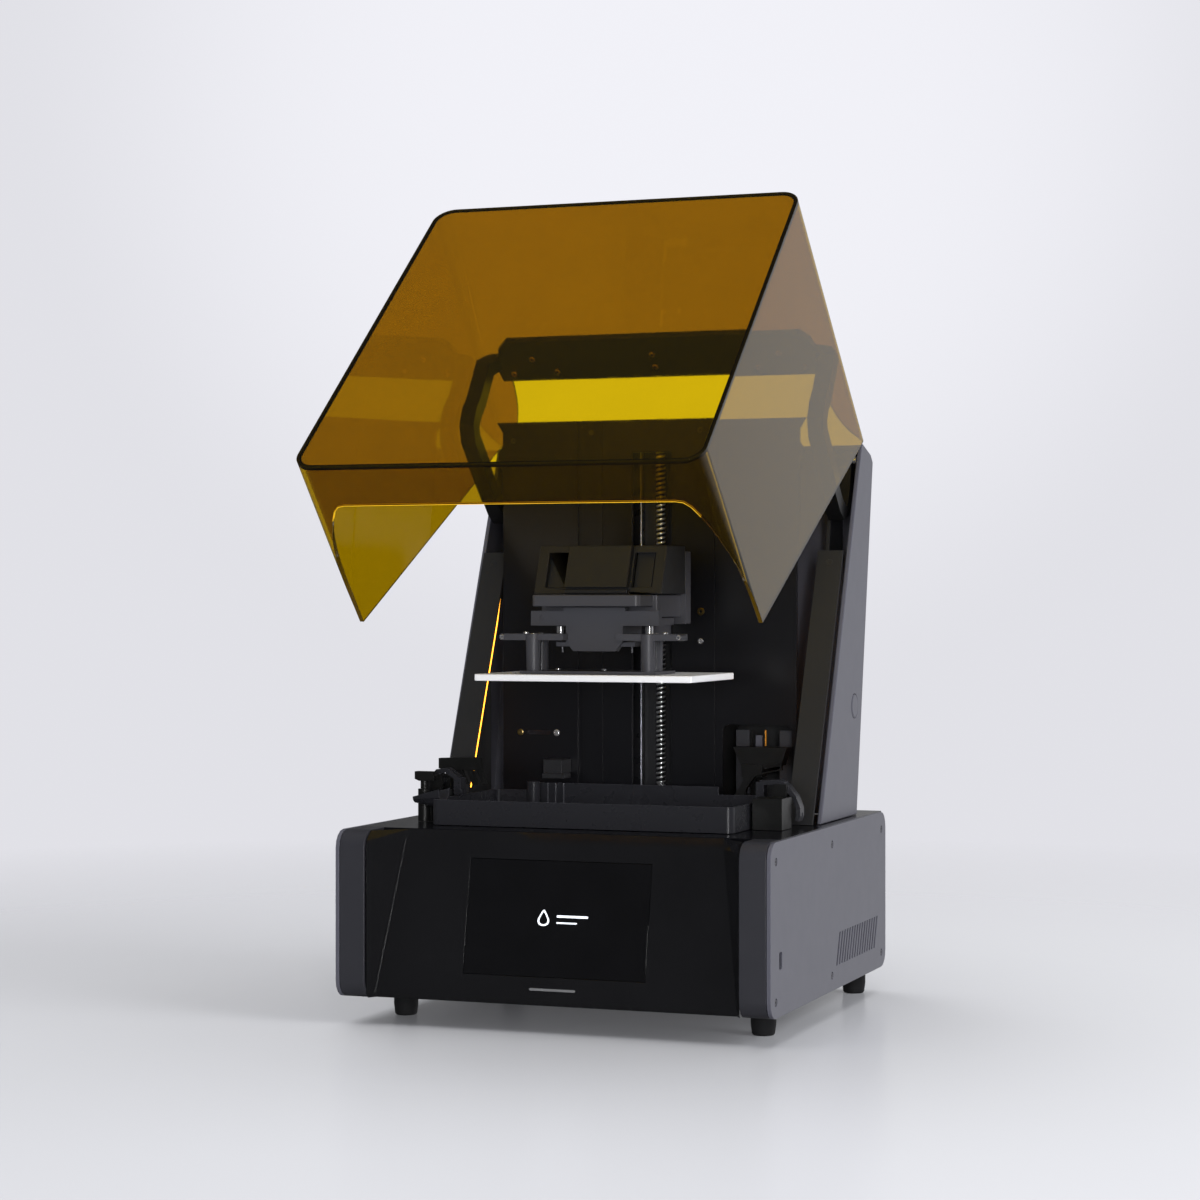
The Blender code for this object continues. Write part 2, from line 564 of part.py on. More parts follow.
def build_carriage():
    # Slider on the rail, nut on the screw, and the arm that reaches out through the slot
    block = box_bm(RAIL_X - 14, RAIL_X - 6 - GAP, 247.0, 256.6, 300.0, 350.0)
    other = box_bm(RAIL_X + 6 + GAP, RAIL_X + 13, 247.0, 256.6, 300.0, 350.0)
    bridge = box_bm(RAIL_X - 14, RAIL_X + 13, 240.6, 249.0, 300.0, 350.0)
    block = join(block, bridge, other)
    block = cut(block, box_bm(RAIL_X - 6 - GAP, RAIL_X + 6 + GAP, 249.0, 260.0, 290.0, 360.0))
    add_object("rail_slider", block, STEEL)
    nut = prism_bm("z", rectangle(SCREW_X - 10, SCREW_X + 10, 240.6, 255.0), 312.0, 338.0,
                   (circle(SCREW_X, SCREW_Y, 4.4, 16),))
    add_object("screw_nut", nut, ((0.55, 0.42, 0.16), 0.35, 1.0))

    neck = box_bm(-12.6, 21.4, 186.0, 240.6 - GAP, 304.0, 346.0)
    back = box_bm(-54.0, 54.0, 176.0, 190.0, 318.0, 378.0)
    shelf = box_bm(-50.0, 50.0, 116.0, 178.0, 324.0, 342.0)
    flange = prism_bm("z", rounded(-46.0, 46.0, 83.0, 124.0, 4.0, 3), 332.7, 342.0)
    add_object("carriage_arm", join(neck, back, shelf, flange), BLACK_METAL)

    # Sloping cover with two windows and a raised middle plate
    lean = (127.0 - 111.4) / (382.0 - 342.7)
    side = [(111.4, 342.7), (127.0, 382.0), (172.0, 382.0), (172.0, 343.0)]
    hood = prism_bm("x", side, -55.0, 55.0)
    inside = prism_bm("x", [(116.0, 338.0), (129.8, 379.2), (182.0, 379.2), (182.0, 338.0)],
                      -52.2, 52.2)
    windows = []
    for x0, x1 in ((-46.0, -28.5), (28.5, 46.0)):
        windows.append(prism_bm("x", [(104.0 + lean * 6, 348.0), (104.0 + lean * 34, 376.0),
                                      (150.0, 376.0), (150.0, 348.0)], x0, x1))
    plate = prism_bm("x", [(106.6, 348.0), (120.1, 382.0), (129.0, 382.0), (115.5, 348.0)],
                     -27.0, 27.0)
    lip = box_bm(-27.0, 27.0, 107.6, 114.0, 343.0, 346.4)
    pane = [(118.7, 343.5), (133.4, 380.5), (136.0, 380.5), (121.3, 343.5)]
    panes = [prism_bm("x", pane, -52.6, -28.0), prism_bm("x", pane, 28.0, 43.4)]
    add_object("carriage_cover", join(cut(hood, inside, *windows), plate, lip, *panes), MATTE)


def build_head():
    """Levelling head: a T-shaped front plate on a block, with fingers under the frame's bars."""
    face = [(-26.5, 331.8), (26.5, 331.8), (26.5, 329.0), (55.0, 329.0), (55.0, 317.0),
            (24.5, 317.0), (24.5, 304.6), (18.2, 296.4), (-18.2, 296.4), (-24.5, 304.6),
            (-24.5, 317.0), (-55.0, 317.0), (-55.0, 329.0), (-26.5, 329.0)]
    front = prism_bm("y", face, 105.0, 113.0)
    core = box_bm(-22.0, 22.0, 112.0, 158.0, 300.0, 323.0)
    wings = box_bm(-50.0, 50.0, 112.0, 158.0, 317.6, 323.0)
    fingers = box_bm(-34.0, 34.0, 108.0, 124.0, 300.2, 303.8)
    pins = [disc_bm("z", sign * 30.0, 112.0, 0.9, 295.2, 301.0, 8) for sign in (-1, 1)]
    add_object("levelling_head", join(front, core, wings, fingers, *pins), BLACK_METAL)


def build_platform_frame():
    """Two cross bars on round legs with knobs at their ends, and the build plate under them."""
    pieces = [box_bm(-58.0, 58.0, 88.0, 138.0, 278.35, 280.6)]
    for sign in (-1, 1):
        pieces.append(box_bm(*sorted((sign * 26.2, sign * 74.0)), 93.0, 121.0, 305.3, 310.5))
        pieces.append(box_bm(*sorted((sign * 22.8, sign * 27.0)), 93.0, 104.6, 305.3, 310.5))
        pieces.append(box_bm(*sorted((sign * 32.0, sign * 46.0)), 120.0, 136.0, 306.0, 310.0))
        pieces.append(disc_bm("z", sign * 38.5, 130.0, 3.3, 308.0, 316.2, 12))
        pieces.append(disc_bm("y", sign * 75.6, 307.9, 2.7, 93.4, 108.0, 12))
        for y in (97.0, 113.6):
            pieces.append(tapered_post(sign * 49.3, y, 279.5, 5.8, 310.2, 6.6))
    add_object("platform_frame", join(*pieces), BLACK_METAL)
    plate = box("build_plate", (-PLATE_HALF, PLATE_HALF), PLATE_Y, PLATE_Z, ALUMINIUM)
    bevel(plate, 0.6)


def tapered_post(x, y, z0, radius0, z1, radius1):
    """Upright round post whose radius changes from foot to top."""
    bm = bmesh.new()
    bmesh.ops.create_cone(bm, cap_ends=True, segments=14, radius1=radius0, radius2=radius1,
                          depth=z1 - z0)
    bmesh.ops.translate(bm, verts=bm.verts, vec=(x, y, (z0 + z1) / 2))
    return bm


def build_vat():
    y0, y1 = VAT_Y
    z0, z1 = VAT_Z
    outer = prism_bm("z", rounded(-VAT_HALF, VAT_HALF, y0, y1, 6.0, 4), z0, z1)
    inner = prism_bm("z", rounded(-VAT_HALF + 3, VAT_HALF - 3, y0 + 2.4, y1 - 3, 4.0, 4),
                     z0 + 2.6, z1 + 20)
    spout = trough_bm((-122.0, 70.6, 104.0, 184.0, 17.0), (-150.0, 82.0, 96.5, 177.0, 5.5), 0.0)
    channel = trough_bm((-117.0, 70.6, 104.0, 186.0, 17.0), (-154.0, 82.0, 96.5, 178.0, 5.5), 1.7)
    raised = box_bm(-88.0, 74.0, y1 - 3.0, y1 - 0.6, z1 - 4, z1 + 6.5)
    pins = [disc_bm("z", -78.0 + 7.2 * i, y1 - 3.6, 0.9, z0 + 9.0, z1 + 6.3, 8) for i in range(3)]
    well = disc_bm("z", -89.5, y1 - 7.5, 5.5, z0 + 1.0, z1 + 7.5, 16)
    walls = cut(join(outer, spout, raised), inner, channel)
    add_object("resin_vat", join(walls, well, *pins), BLACK_METAL)
    film = rounded(-VAT_HALF + 3.5, VAT_HALF - 3.5, y0 + 2.9, y1 - 3.5, 3.5, 4)
    film = prism_bm("z", film, z0 + 2.6 + GAP, z0 + 2.6 + GAP + 0.9)
    hole = disc_bm("z", -89.5, y1 - 7.5, 5.5 + GAP, z0, z1, 16)
    add_object("release_film", cut(film, hole), FILM)

    # Sensor head on the tower panel, reaching out over the three pins on the vat's back wall
    head = box_bm(-86.0, -69.0, 211.0, PANEL_Y - GAP, 189.5, 201.5)
    neck = box_bm(-82.0, -62.0, 198.0, 214.0, 186.4, 190.4)
    add_object("level_sensor", join(head, neck), MATTE)


def trough_bm(wide, narrow, wall):
    """Solid with rounded underside between two upright sections, each given as (x, front y,
    back y, top z, depth). A wall thickness draws the hollow inside it instead."""
    bm = bmesh.new()
    rings = []
    for x, y0, y1, top, depth in (wide, narrow):
        ring = []
        for i in range(9):
            turn = math.pi * i / 8
            half = (y1 - y0) / 2 - wall
            ring.append(bm.verts.new((x, (y0 + y1) / 2 - half * math.cos(turn),
                                      top + wall * 0.3 - (depth - wall * 0.7) * math.sin(turn))))
        rings.append(ring)
    for ring in rings:
        bm.faces.new(ring)
    for i in range(9):
        bm.faces.new((rings[0][i - 1], rings[0][i], rings[1][i], rings[1][i - 1]))
    bmesh.ops.recalc_face_normals(bm, faces=bm.faces)
    return bm


def left_bracket(z0):
    """Slatted bracket behind the left clamp block, and the latch's post in front of it."""
    wall = [(-156.6, 204.7), (-117.5, 206.2), (-117.5, 195.0), (-141.0, 195.0), (-141.6, z0),
            (-151.0, z0), (-151.6, 181.0), (-150.0, 192.8), (-152.4, 195.6), (-156.6, 196.0)]
    pieces = [prism_bm("y", wall, 150.0, 156.0), box_bm(-150.0, -142.0, 138.0, 152.0, z0, 178.0),
              disc_bm("z", -149.2, 104.6, 5.4, z0, 182.0, 16),
              box_bm(-149.5, -142.0, 104.0, 114.0, z0, 170.0)]
    for i in range(3):
        x = -141.5 + 9.2 * i
        slat = [(x, 196.5), (x + 5.0, 196.5), (x + 11.0, 183.0), (x + 6.0, 183.0)]
        pieces.append(prism_bm("y", slat, 151.0, 155.0))
    return pieces


def clamp(side, sign, body, mid, pivot, path, pad_z):
    """One clamp: a block with ears, and the sprung lever between them."""
    half = 5.5
    ear_x, ear_z = sorted((sign * 139.0, sign * 150.0)), (pivot[1] - 11.0, pivot[1] + 5.5)
    ears = [box_bm(*ear_x, mid + a, mid + b, *ear_z)
            for a, b in ((-half - 3.4, -half - 0.6), (half + 0.6, half + 3.4))]
    # Room for the lever's outer arm, which swings in when it is pressed
    slot = box_bm(*sorted((sign * 146.0, sign * 170.0)), mid - half - 0.6, mid + half + 0.6,
                  158.0, pivot[1] + 20.0)
    pin = disc_bm("y", sign * pivot[0], pivot[1], 2.0, mid - half - 3.0, mid + half + 3.0, 12)
    block = join(cut(join(*body, *ears), slot), pin)
    add_object("clamp_block_" + side, block, MATTE)
    outline = band([(sign * x, z) for x, z in path], 1.9)
    if sign < 0:
        outline = outline[::-1]
    lever = prism_bm("y", outline, mid - half, mid + half)
    hub = disc_bm("y", sign * pivot[0], pivot[1], 5.0, mid - half, mid + half, 14)
    web = prism_bm("y", [(sign * pivot[0] - 3.5, pivot[1]), (sign * pivot[0] + 3.5, pivot[1]),
                         (sign * pivot[0] + 2.5, pivot[1] + 7.5),
                         (sign * pivot[0] - 3.5, pivot[1] + 7.5)], mid - 5.0, mid + 5.0)
    pad = box_bm(*sorted((sign * 123.5, sign * 130.0)), mid - half, mid + half, 176.6, pad_z)
    bore = disc_bm("y", sign * pivot[0], pivot[1], 2.35, mid - 20, mid + 20, 12)
    eye = disc_bm("x", mid, path[-1][1] + 5.0, 1.6, sign * 150.0, sign * 170.0, 10)
    lever = cut(join(lever, hub, web, pad), bore, eye)
    add_object("clamp_lever_" + side, lever, BLACK_METAL, (sign * pivot[0], mid, pivot[1]))


def build_clamps():
    """Blocks beside the vat with the levers that hold it down."""
    z0 = BASE_Z1 + GAP
    inner = VAT_HALF + 2.6
    left = [box_bm(-150.5, -inner, 112.0, 140.0, z0, 181.0), *left_bracket(z0)]
    left_path = [(127.5, 190.0), (137.0, 196.5), (145.0, 195.5), (151.0, 188.5), (155.6, 174.5),
                 (155.3, 167.2)]
    clamp("left", -1, left, 126.0, (145.0, 187.5), left_path, 190.5)
    right = [box_bm(inner, 155.3, 113.0, 140.0, z0, 180.4),
             box_bm(inner, 145.4, 139.0, 162.0, z0, 174.0)]
    right_path = [(127.0, 190.6), (143.2, 191.6), (149.4, 187.4), (155.6, 179.5), (158.8, 171.0),
                  (158.9, 165.0), (157.6, 160.8)]
    clamp("right", 1, right, 152.0, (145.0, 184.4), right_path, 191.0)
    # T handle on the post in front of the left block
    stem = disc_bm("z", -149.2, 104.6, 3.4, 182.4, 192.0, 12)
    grip = prism_bm("y", [(-156.8, 190.2), (-156.8, 196.4), (-141.0, 196.4), (-139.4, 193.4),
                          (-139.8, 189.4), (-145.0, 188.6), (-153.0, 188.6)], 101.2, 108.0)
    add_object("latch_handle", join(stem, grip), MATTE, (-149.2, 104.6, 182.4))


def ring_points(half_top, half_low, length, radius_top, radius_low, low_steps):
    """Rounded outline of the lid, seen along its depth, as (x, distance from the top)."""
    points = []
    arc = 4
    for i in range(arc + 1):
        turn = math.radians(90.0 * i / arc)
        points.append((half_top - radius_top + radius_top * math.sin(turn),
                       radius_top - radius_top * math.cos(turn)))
    for i in range(arc + 1):
        turn = math.radians(90.0 * i / arc)
        points.append((half_low - radius_low + radius_low * math.cos(turn),
                       length - radius_low + radius_low * math.sin(turn)))
    for share in low_steps:
        points.append((share * (half_low - radius_low), length))
    mirrored = [(-x, s) for x, s in points[::-1]]
    return points + mirrored


def build_lid():
    a_y, a_z, a_half = LID_A
    b_y, b_z, b_half = LID_B
    c_y, c_z, c_half = LID_C
    d_y, d_z, d_half = LID_D
    low_steps = (0.95, 0.89, 0.5)
    front_len = math.hypot(a_y - d_y, a_z - d_z)
    rear_len = math.hypot(b_y - c_y, b_z - c_z)
    front = ring_points(a_half, d_half, front_len, LID_R, LID_R, low_steps)
    rear = ring_points(b_half, c_half, rear_len, 10.0, 4.0, low_steps)
    keep = [1.0] * 6 + [0.82, 0.66, 0.52, 0.41, 0.30, 0.25, 0.237]
    keep = keep + keep[::-1]
    count = len(front)
    steps = 5
    bm = bmesh.new()
    rows = []
    for step in range(steps + 1):
        row = []
        for k in range(count):
            x0, s0 = front[k]
            x1, s1 = rear[k]
            share0, share1 = s0 / front_len, s1 / rear_len
            start = Vector((x0, a_y + (d_y - a_y) * share0, a_z + (d_z - a_z) * share0))
            end = Vector((x1, b_y + (c_y - b_y) * share1, b_z + (c_z - b_z) * share1))
            row.append(bm.verts.new(start.lerp(end, keep[k] * step / steps)))
        rows.append(row)
    bm.faces.new(rows[0])
    for low, high in zip(rows, rows[1:]):
        for k in range(count):
            bm.faces.new((low[k - 1], low[k], high[k], high[k - 1]))
    shell = add_object("lid_shell", bm, AMBER, (0.0, *HINGE))
    bm = bmesh.new()
    bm.from_mesh(shell.data)
    bmesh.ops.recalc_face_normals(bm, faces=bm.faces)
    top = max(bm.faces, key=lambda face: len(face.verts))
    outward = Vector((0.0, a_z - d_z, d_y - a_y)).normalized() * -1.0
    if top.normal.dot(outward) < 0.0:
        bmesh.ops.reverse_faces(bm, faces=bm.faces)
    bm.to_mesh(shell.data)
    bm.free()
    wall = shell.modifiers.new("wall", "SOLIDIFY")
    wall.thickness = LID_T * MM
    wall.offset = -1.0
    wall.use_even_offset = True

    along = Vector((0.0, a_y - b_y, a_z - b_z)).normalized()
    inward = Vector((0.0, -along.z, along.y))
    if inward.y > 0:
        inward = -inward
    rear_corner = Vector((0.0, b_y, b_z))

    def on_top_wall(x, distance, depth):
        return rear_corner + Vector((x, 0.0, 0.0)) + along * distance + inward * depth

    def plate_on_wall(outline, depth0, depth1):
        """Flat plate parallel to the top wall, between two depths under its outer face."""
        bm = bmesh.new()
        low = [bm.verts.new(on_top_wall(x, s, depth0)) for x, s in outline]
        high = [bm.verts.new(on_top_wall(x, s, depth1)) for x, s in outline]
        bm.faces.new(low)
        bm.faces.new(high[::-1])
        for i in range(len(outline)):
            bm.faces.new((low[i - 1], low[i], high[i], high[i - 1]))
        bmesh.ops.recalc_face_normals(bm, faces=bm.faces)
        return bm

    # Notch in the top wall, through which the tower's panel shows when the lid is shut
    half_notch = [(138.2, NOTCH_S), (140.0, 50.0), (143.5, 33.0), (150.0, 16.0), (162.5, 0.0),
                  (162.5, -12.0)]
    notch = [(-x, s) for x, s in half_notch] + half_notch[::-1]
    cutter = add_object("notch_cutter", plate_on_wall(notch, -4.0, LID_T + 2.2), AMBER)
    cutter.hide_render = True
    cutter.display_type = "WIRE"
    slot = shell.modifiers.new("notch", "BOOLEAN")
    slot.object = cutter
    slot.solver = "EXACT"

    # Hinge bar on the inside of the lid's top wall
    outline = [(-147.0, 100.0), (-141.0, 103.5), (-139.0, 111.0), (-131.0, 118.5),
               (131.0, 118.5), (139.0, 111.0), (141.0, 103.5), (147.0, 100.0),
               (143.0, 76.0), (-143.0, 76.0)]
    bar = plate_on_wall(outline, LID_T + GAP, LID_T + GAP + 7.0)
    # Curved arms from the bar into the tower
    arms = []
    joint = on_top_wall(0.0, 96.0, LID_T + 8.0)
    path = [(joint.y, joint.z), (226.0, 508.0), (216.5, 498.0), (211.0, 486.5), (214.0, 475.0),
            (226.0, 463.0), (243.0, 446.0), (259.0, 430.5), (272.0, 418.0), (284.0, 411.5),
            (295.0, 415.0), (301.5, 428.0), (305.5, 443.0), (HINGE[0], HINGE[1] + 1.0)]
    for sign, side in ((-1, "left"), (1, "right")):
        limb = prism_bm("x", band(path[:10], 6.8), sign * 147.2, sign * 160.6)
        tail = prism_bm("x", band(path[8:], 5.0), sign * 147.2, sign * 160.6)
        eye = disc_bm("x", HINGE[0], HINGE[1], 8.0, sign * 147.2, sign * 160.6, 18)
        bore = disc_bm("x", HINGE[0], HINGE[1], 3.5, sign * 140.0, sign * 170.0, 18)
        arms.append((side, cut(join(limb, tail, eye), bore)))
    add_object("hinge_bar", bar, BLACK_METAL, (0.0, *HINGE))
    for side, arm in arms:
        add_object("hinge_arm_" + side, arm, BLACK_METAL, (0.0, *HINGE))


def main():
    clear_scene()
    build_base()
    build_front()
    build_electronics()
    build_tower()
    build_drive()
    build_carriage()
    build_head()
    build_platform_frame()
    build_vat()
    build_clamps()
    build_lid()


main()
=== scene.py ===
"""Looks of the desktop resin printer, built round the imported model.

Lengths are in millimetres in the part's own terms: x to the machine's right, y back from the
front edge of the base, z up from the table. at() turns them into the frame's metres.
"""
import json
import math

import bmesh
import bpy
from mathutils import Matrix, Vector


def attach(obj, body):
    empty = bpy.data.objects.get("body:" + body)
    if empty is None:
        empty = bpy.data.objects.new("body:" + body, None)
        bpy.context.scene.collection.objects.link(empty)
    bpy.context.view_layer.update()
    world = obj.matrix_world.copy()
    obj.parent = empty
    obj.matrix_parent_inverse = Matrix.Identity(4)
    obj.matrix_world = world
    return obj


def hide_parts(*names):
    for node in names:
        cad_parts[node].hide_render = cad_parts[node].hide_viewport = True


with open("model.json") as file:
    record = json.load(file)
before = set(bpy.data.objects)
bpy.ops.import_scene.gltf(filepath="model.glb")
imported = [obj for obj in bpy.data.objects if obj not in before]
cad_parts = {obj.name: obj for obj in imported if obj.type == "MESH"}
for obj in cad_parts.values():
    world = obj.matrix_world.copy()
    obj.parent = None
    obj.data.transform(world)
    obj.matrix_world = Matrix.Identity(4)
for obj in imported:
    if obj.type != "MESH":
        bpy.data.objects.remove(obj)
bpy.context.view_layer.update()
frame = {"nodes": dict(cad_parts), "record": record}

MM = 0.001
ORIGIN_Y = 116.6         # from the base's front edge to the frame's origin
NODE_BODY = {node: body for body, nodes in frame["record"]["behaviour"]["bodies"].items()
             for node in nodes}
NODE_SLOT = {row["node"]: row["material_slot"] for row in frame["record"]["subparts"]}

# Lid, open: corners of its side in (y, z), with the half width of the lid at each of them
LID_A = (156.0, 667.0, 159.3)
LID_B = (320.0, 477.5, 169.0)
LID_C = (16.5, 318.6, 168.0)
LID_D = (-113.0, 437.3, 163.2)
LID_T = 3.4              # wall thickness
LID_R = 17.0             # corner radius of the front plate
NOTCH_S = 73.0           # how far the top wall's notch runs forward
PANEL_Y = 234.0          # front face of the tower's panel
SCREW_X, SCREW_Y = 8.0, 247.0
SCREW_LEAD = 4.0
SCREW_LOW, SCREW_HIGH = 178.0, 469.0


def at(x, y, z):
    return Vector((x, y - ORIGIN_Y, z)) * MM


# ---------------------------------------------------------------- materials

class Surface:
    """A Principled material with its nodes laid out by short calls."""

    def __init__(self, name, **sockets):
        self.mat = bpy.data.materials.new(name)
        self.mat.use_nodes = True
        self.tree = self.mat.node_tree
        self.shader = self.tree.nodes["Principled BSDF"]
        for key, value in sockets.items():
            self.shader.inputs[key.replace("_", " ")].default_value = value
        coords = self.tree.nodes.new("ShaderNodeTexCoord")
        self.coords = coords.outputs["Object"]

    def node(self, kind, **settings):
        made = self.tree.nodes.new(kind)
        for key, value in settings.items():
            setattr(made, key, value)
        return made

    def link(self, source, target):
        self.tree.links.new(source, target)

    def stretched(self, scale):
        mapping = self.node("ShaderNodeMapping")
        mapping.inputs["Scale"].default_value = scale
        self.link(self.coords, mapping.inputs["Vector"])
        return mapping.outputs["Vector"]

    def noise(self, scale, detail, stretch=None):
        made = self.node("ShaderNodeTexNoise")
        made.inputs["Scale"].default_value = scale
        made.inputs["Detail"].default_value = detail
        self.link(self.stretched(stretch) if stretch else self.coords, made.inputs["Vector"])
        return made.outputs["Fac"]

    def remap(self, value, low, high, out_low, out_high):
        made = self.node("ShaderNodeMapRange")
        for key, number in (("From Min", low), ("From Max", high),
                            ("To Min", out_low), ("To Max", out_high)):
            made.inputs[key].default_value = number
        self.link(value, made.inputs["Value"])
        return made.outputs["Result"]

    def blend(self, share, first, second):
        """Mix two colours; either may be an output or plain numbers."""
        made = self.node("ShaderNodeMix", data_type="RGBA")
        self.link(share, made.inputs["Factor"])
        for socket, colour in ((made.inputs[6], first), (made.inputs[7], second)):
            if isinstance(colour, bpy.types.NodeSocket):
                self.link(colour, socket)
            else:
                socket.default_value = (*colour, 1.0)
        return made.outputs[2]

    def bump(self, height, distance, strength=1.0):
        made = self.node("ShaderNodeBump")
        made.inputs["Distance"].default_value = distance
        made.inputs["Strength"].default_value = strength
        self.link(height, made.inputs["Height"])
        return made.outputs["Normal"]

    def set(self, key, output):
        self.link(output, self.shader.inputs[key])


def shade(colour, factor):
    return tuple(min(1.0, channel * factor) for channel in colour)


EDGE_HIGHLIGHT_FINISH = {}         # material name: its lighter copy for the rounded edges, a painted highlight
GRAIN_SCALE = 0.4        # share of a finish's grain count that its bump noise uses
GRAIN_STRENGTH = 0.25


def finish(name, colour, rough, metallic=0.0, mottle=0.08, mottle_scale=35.0, swing=0.05,
           grain=1500.0, grain_depth=0.00004, brush=None, edge=None, **sockets):
    """A worked surface: soft colour mottling, uneven roughness and fine grain. With an edge
    factor, the rounded edges get a lighter, smoother copy of it: a painted highlight on the edges."""
    if edge is not None:
        EDGE_HIGHLIGHT_FINISH[name] = finish(name + "_edge", shade(colour, edge), rough * 0.8, metallic,
                                   mottle, mottle_scale, swing, grain, grain_depth, brush,
                                   **sockets)
    made = Surface(name, Metallic=metallic, **sockets)
    cloud = made.noise(mottle_scale, 4.0)
    tint = made.blend(cloud, shade(colour, 1.0 - mottle), shade(colour, 1.0 + mottle))
    made.set("Base Color", tint)
    streak = made.noise(90.0 if brush else mottle_scale * 2.3, 3.0, brush)
    made.set("Roughness", made.remap(streak, 0.3, 0.7, rough - swing, rough + swing))
    fine = made.noise(grain * GRAIN_SCALE, 2.0, brush)
    made.set("Normal", made.bump(fine, grain_depth, GRAIN_STRENGTH))
    return made.mat


def glass(name, tint, ior=1.49, rough=0.015):
    """Clear tinted sheet with faint handling marks in its gloss."""
    made = Surface(name, IOR=ior, Transmission_Weight=1.0, Specular_IOR_Level=0.5)
    haze = made.noise(22.0, 5.0)
    made.set("Base Color", made.blend(made.remap(haze, 0.3, 0.7, 0.0, 1.0),
                                      shade(tint, 0.985), shade(tint, 1.015)))
    wipes = made.noise(60.0, 4.0, (1.0, 6.0, 1.0))
    made.set("Roughness", made.remap(wipes, 0.45, 0.8, rough, rough + 0.035))
    return made.mat


def glow(name, colour, strength):
    """Lit diffuser strip: small bright cells along its length under a milky cover. Also used
    for glows that are no lamp: painted highlights and glints on the lid and in the recess.
    """
    made = Surface(name, Roughness=0.35, Emission_Strength=strength)
    cells = made.node("ShaderNodeTexWave", wave_type="BANDS", bands_direction="Z")
    cells.inputs["Scale"].default_value = 55.0
    cells.inputs["Distortion"].default_value = 0.4
    made.link(made.coords, cells.inputs["Vector"])
    even = made.remap(cells.outputs["Fac"], 0.0, 1.0, 0.35, 1.0)
    lit = made.blend(even, shade(colour, 0.8), colour)
    made.set("Emission Color", lit)
    made.set("Base Color", lit)
    return made.mat


def circuit_board(name):
    """Green solder mask with a grid of copper tracks and bare pads."""
    made = Surface(name, Roughness=0.4)
    grid = made.node("ShaderNodeTexBrick")
    grid.inputs["Scale"].default_value = 130.0
    grid.inputs["Mortar Size"].default_value = 0.03
    grid.inputs["Color1"].default_value = (0.012, 0.10, 0.04, 1.0)
    grid.inputs["Color2"].default_value = (0.018, 0.13, 0.05, 1.0)
    grid.inputs["Mortar"].default_value = (0.05, 0.24, 0.09, 1.0)
    made.link(made.coords, grid.inputs["Vector"])
    dots = made.node("ShaderNodeTexVoronoi")
    dots.inputs["Scale"].default_value = 260.0
    made.link(made.coords, dots.inputs["Vector"])
    pads = made.remap(dots.outputs["Distance"], 0.10, 0.14, 1.0, 0.0)
    made.set("Base Color", made.blend(pads, grid.outputs["Color"], (0.72, 0.68, 0.58)))
    made.set("Normal", made.bump(grid.outputs["Fac"], 0.00005))
    return made.mat


# edge= gives a material a lighter copy for its rounded edges: a painted highlight.
CASE = finish("case_paint", (0.112, 0.112, 0.138), 0.42, 0.25, mottle=0.02, swing=0.012,
              grain=1900.0, grain_depth=0.00004, edge=2.4, Coat_Weight=0.12, Coat_Roughness=0.3)
STRIP = finish("front_strip", (0.030, 0.030, 0.036), 0.40, 0.1, mottle=0.06, edge=1.5)
PIANO = finish("fascia_gloss", (0.0060, 0.0060, 0.0068), 0.07, mottle=0.3, mottle_scale=14.0,
               swing=0.025, grain=26.0, grain_depth=0.00002, Coat_Weight=0.6, Coat_Roughness=0.04)
GLASS_BLACK = finish("screen_glass", (0.0028, 0.0028, 0.0034), 0.05, mottle=0.4, swing=0.02,
                     grain=20.0, grain_depth=0.00001, Coat_Weight=0.7, Coat_Roughness=0.03)
DECK = finish("deck_plastic", (0.0050, 0.0050, 0.0062), 0.22, mottle=0.12, swing=0.02,
              grain=1300.0, grain_depth=0.00002, edge=3.0, Specular_IOR_Level=0.22)
PANEL = finish("tower_panel", (0.0065, 0.0065, 0.0080), 0.30, mottle=0.05, swing=0.012,
               grain=1800.0, grain_depth=0.00001, edge=2.5, Specular_IOR_Level=0.4)
TRIM = finish("trim_plastic", (0.018, 0.018, 0.019), 0.46, mottle=0.05, swing=0.03,
              grain=1200.0, grain_depth=0.00003, edge=2.6)
BLACK = finish("black_plastic", (0.020, 0.020, 0.022), 0.36, mottle=0.05, swing=0.02,
               grain=1400.0, grain_depth=0.00002, edge=2.2)
HINGE_BLACK = finish("hinge_plastic", (0.006, 0.006, 0.006), 0.40, mottle=0.05, grain=1400.0,
                     grain_depth=0.00002, edge=1.6)
RAIL = finish("rail_steel", (0.022, 0.022, 0.025), 0.30, 0.5, mottle=0.04, edge=30.0)
# Thread crest near white and root near black: painted highlight and painted shade on one steel
# thread.
THREAD_ROOT_SHADE = finish("thread_root_painted_shade", (0.012, 0.012, 0.013), 0.35, 0.6, mottle=0.05)
THREAD_CREST_HIGHLIGHT = finish("thread_crest_painted_highlight", (0.98, 0.98, 1.0), 0.30, 0.9, mottle=0.02, swing=0.03)
DARK_METAL = finish("black_metal", (0.066, 0.066, 0.076), 0.40, 0.15, mottle=0.02, swing=0.02,
                    grain=2300.0, grain_depth=0.00001, edge=2.0)
VAT_METAL = finish("vat_metal", (0.022, 0.022, 0.026), 0.28, 0.15, mottle=0.02, swing=0.015,
                   grain=2100.0, grain_depth=0.00001, edge=3.4)
ALUMINIUM = finish("plate_aluminium", (0.98, 0.98, 1.0), 0.36, 0.08, mottle=0.02, grain=2600.0,
                   grain_depth=0.00003)
MILL = finish("mill_aluminium", (0.62, 0.63, 0.65), 0.36, 1.0, mottle=0.04,
              brush=(1.0, 0.06, 1.0), grain=900.0)
STEEL = finish("bright_steel", (0.80, 0.80, 0.82), 0.22, 0.85, mottle=0.04,
               brush=(1.0, 1.0, 0.08), grain=1100.0, grain_depth=0.00002)
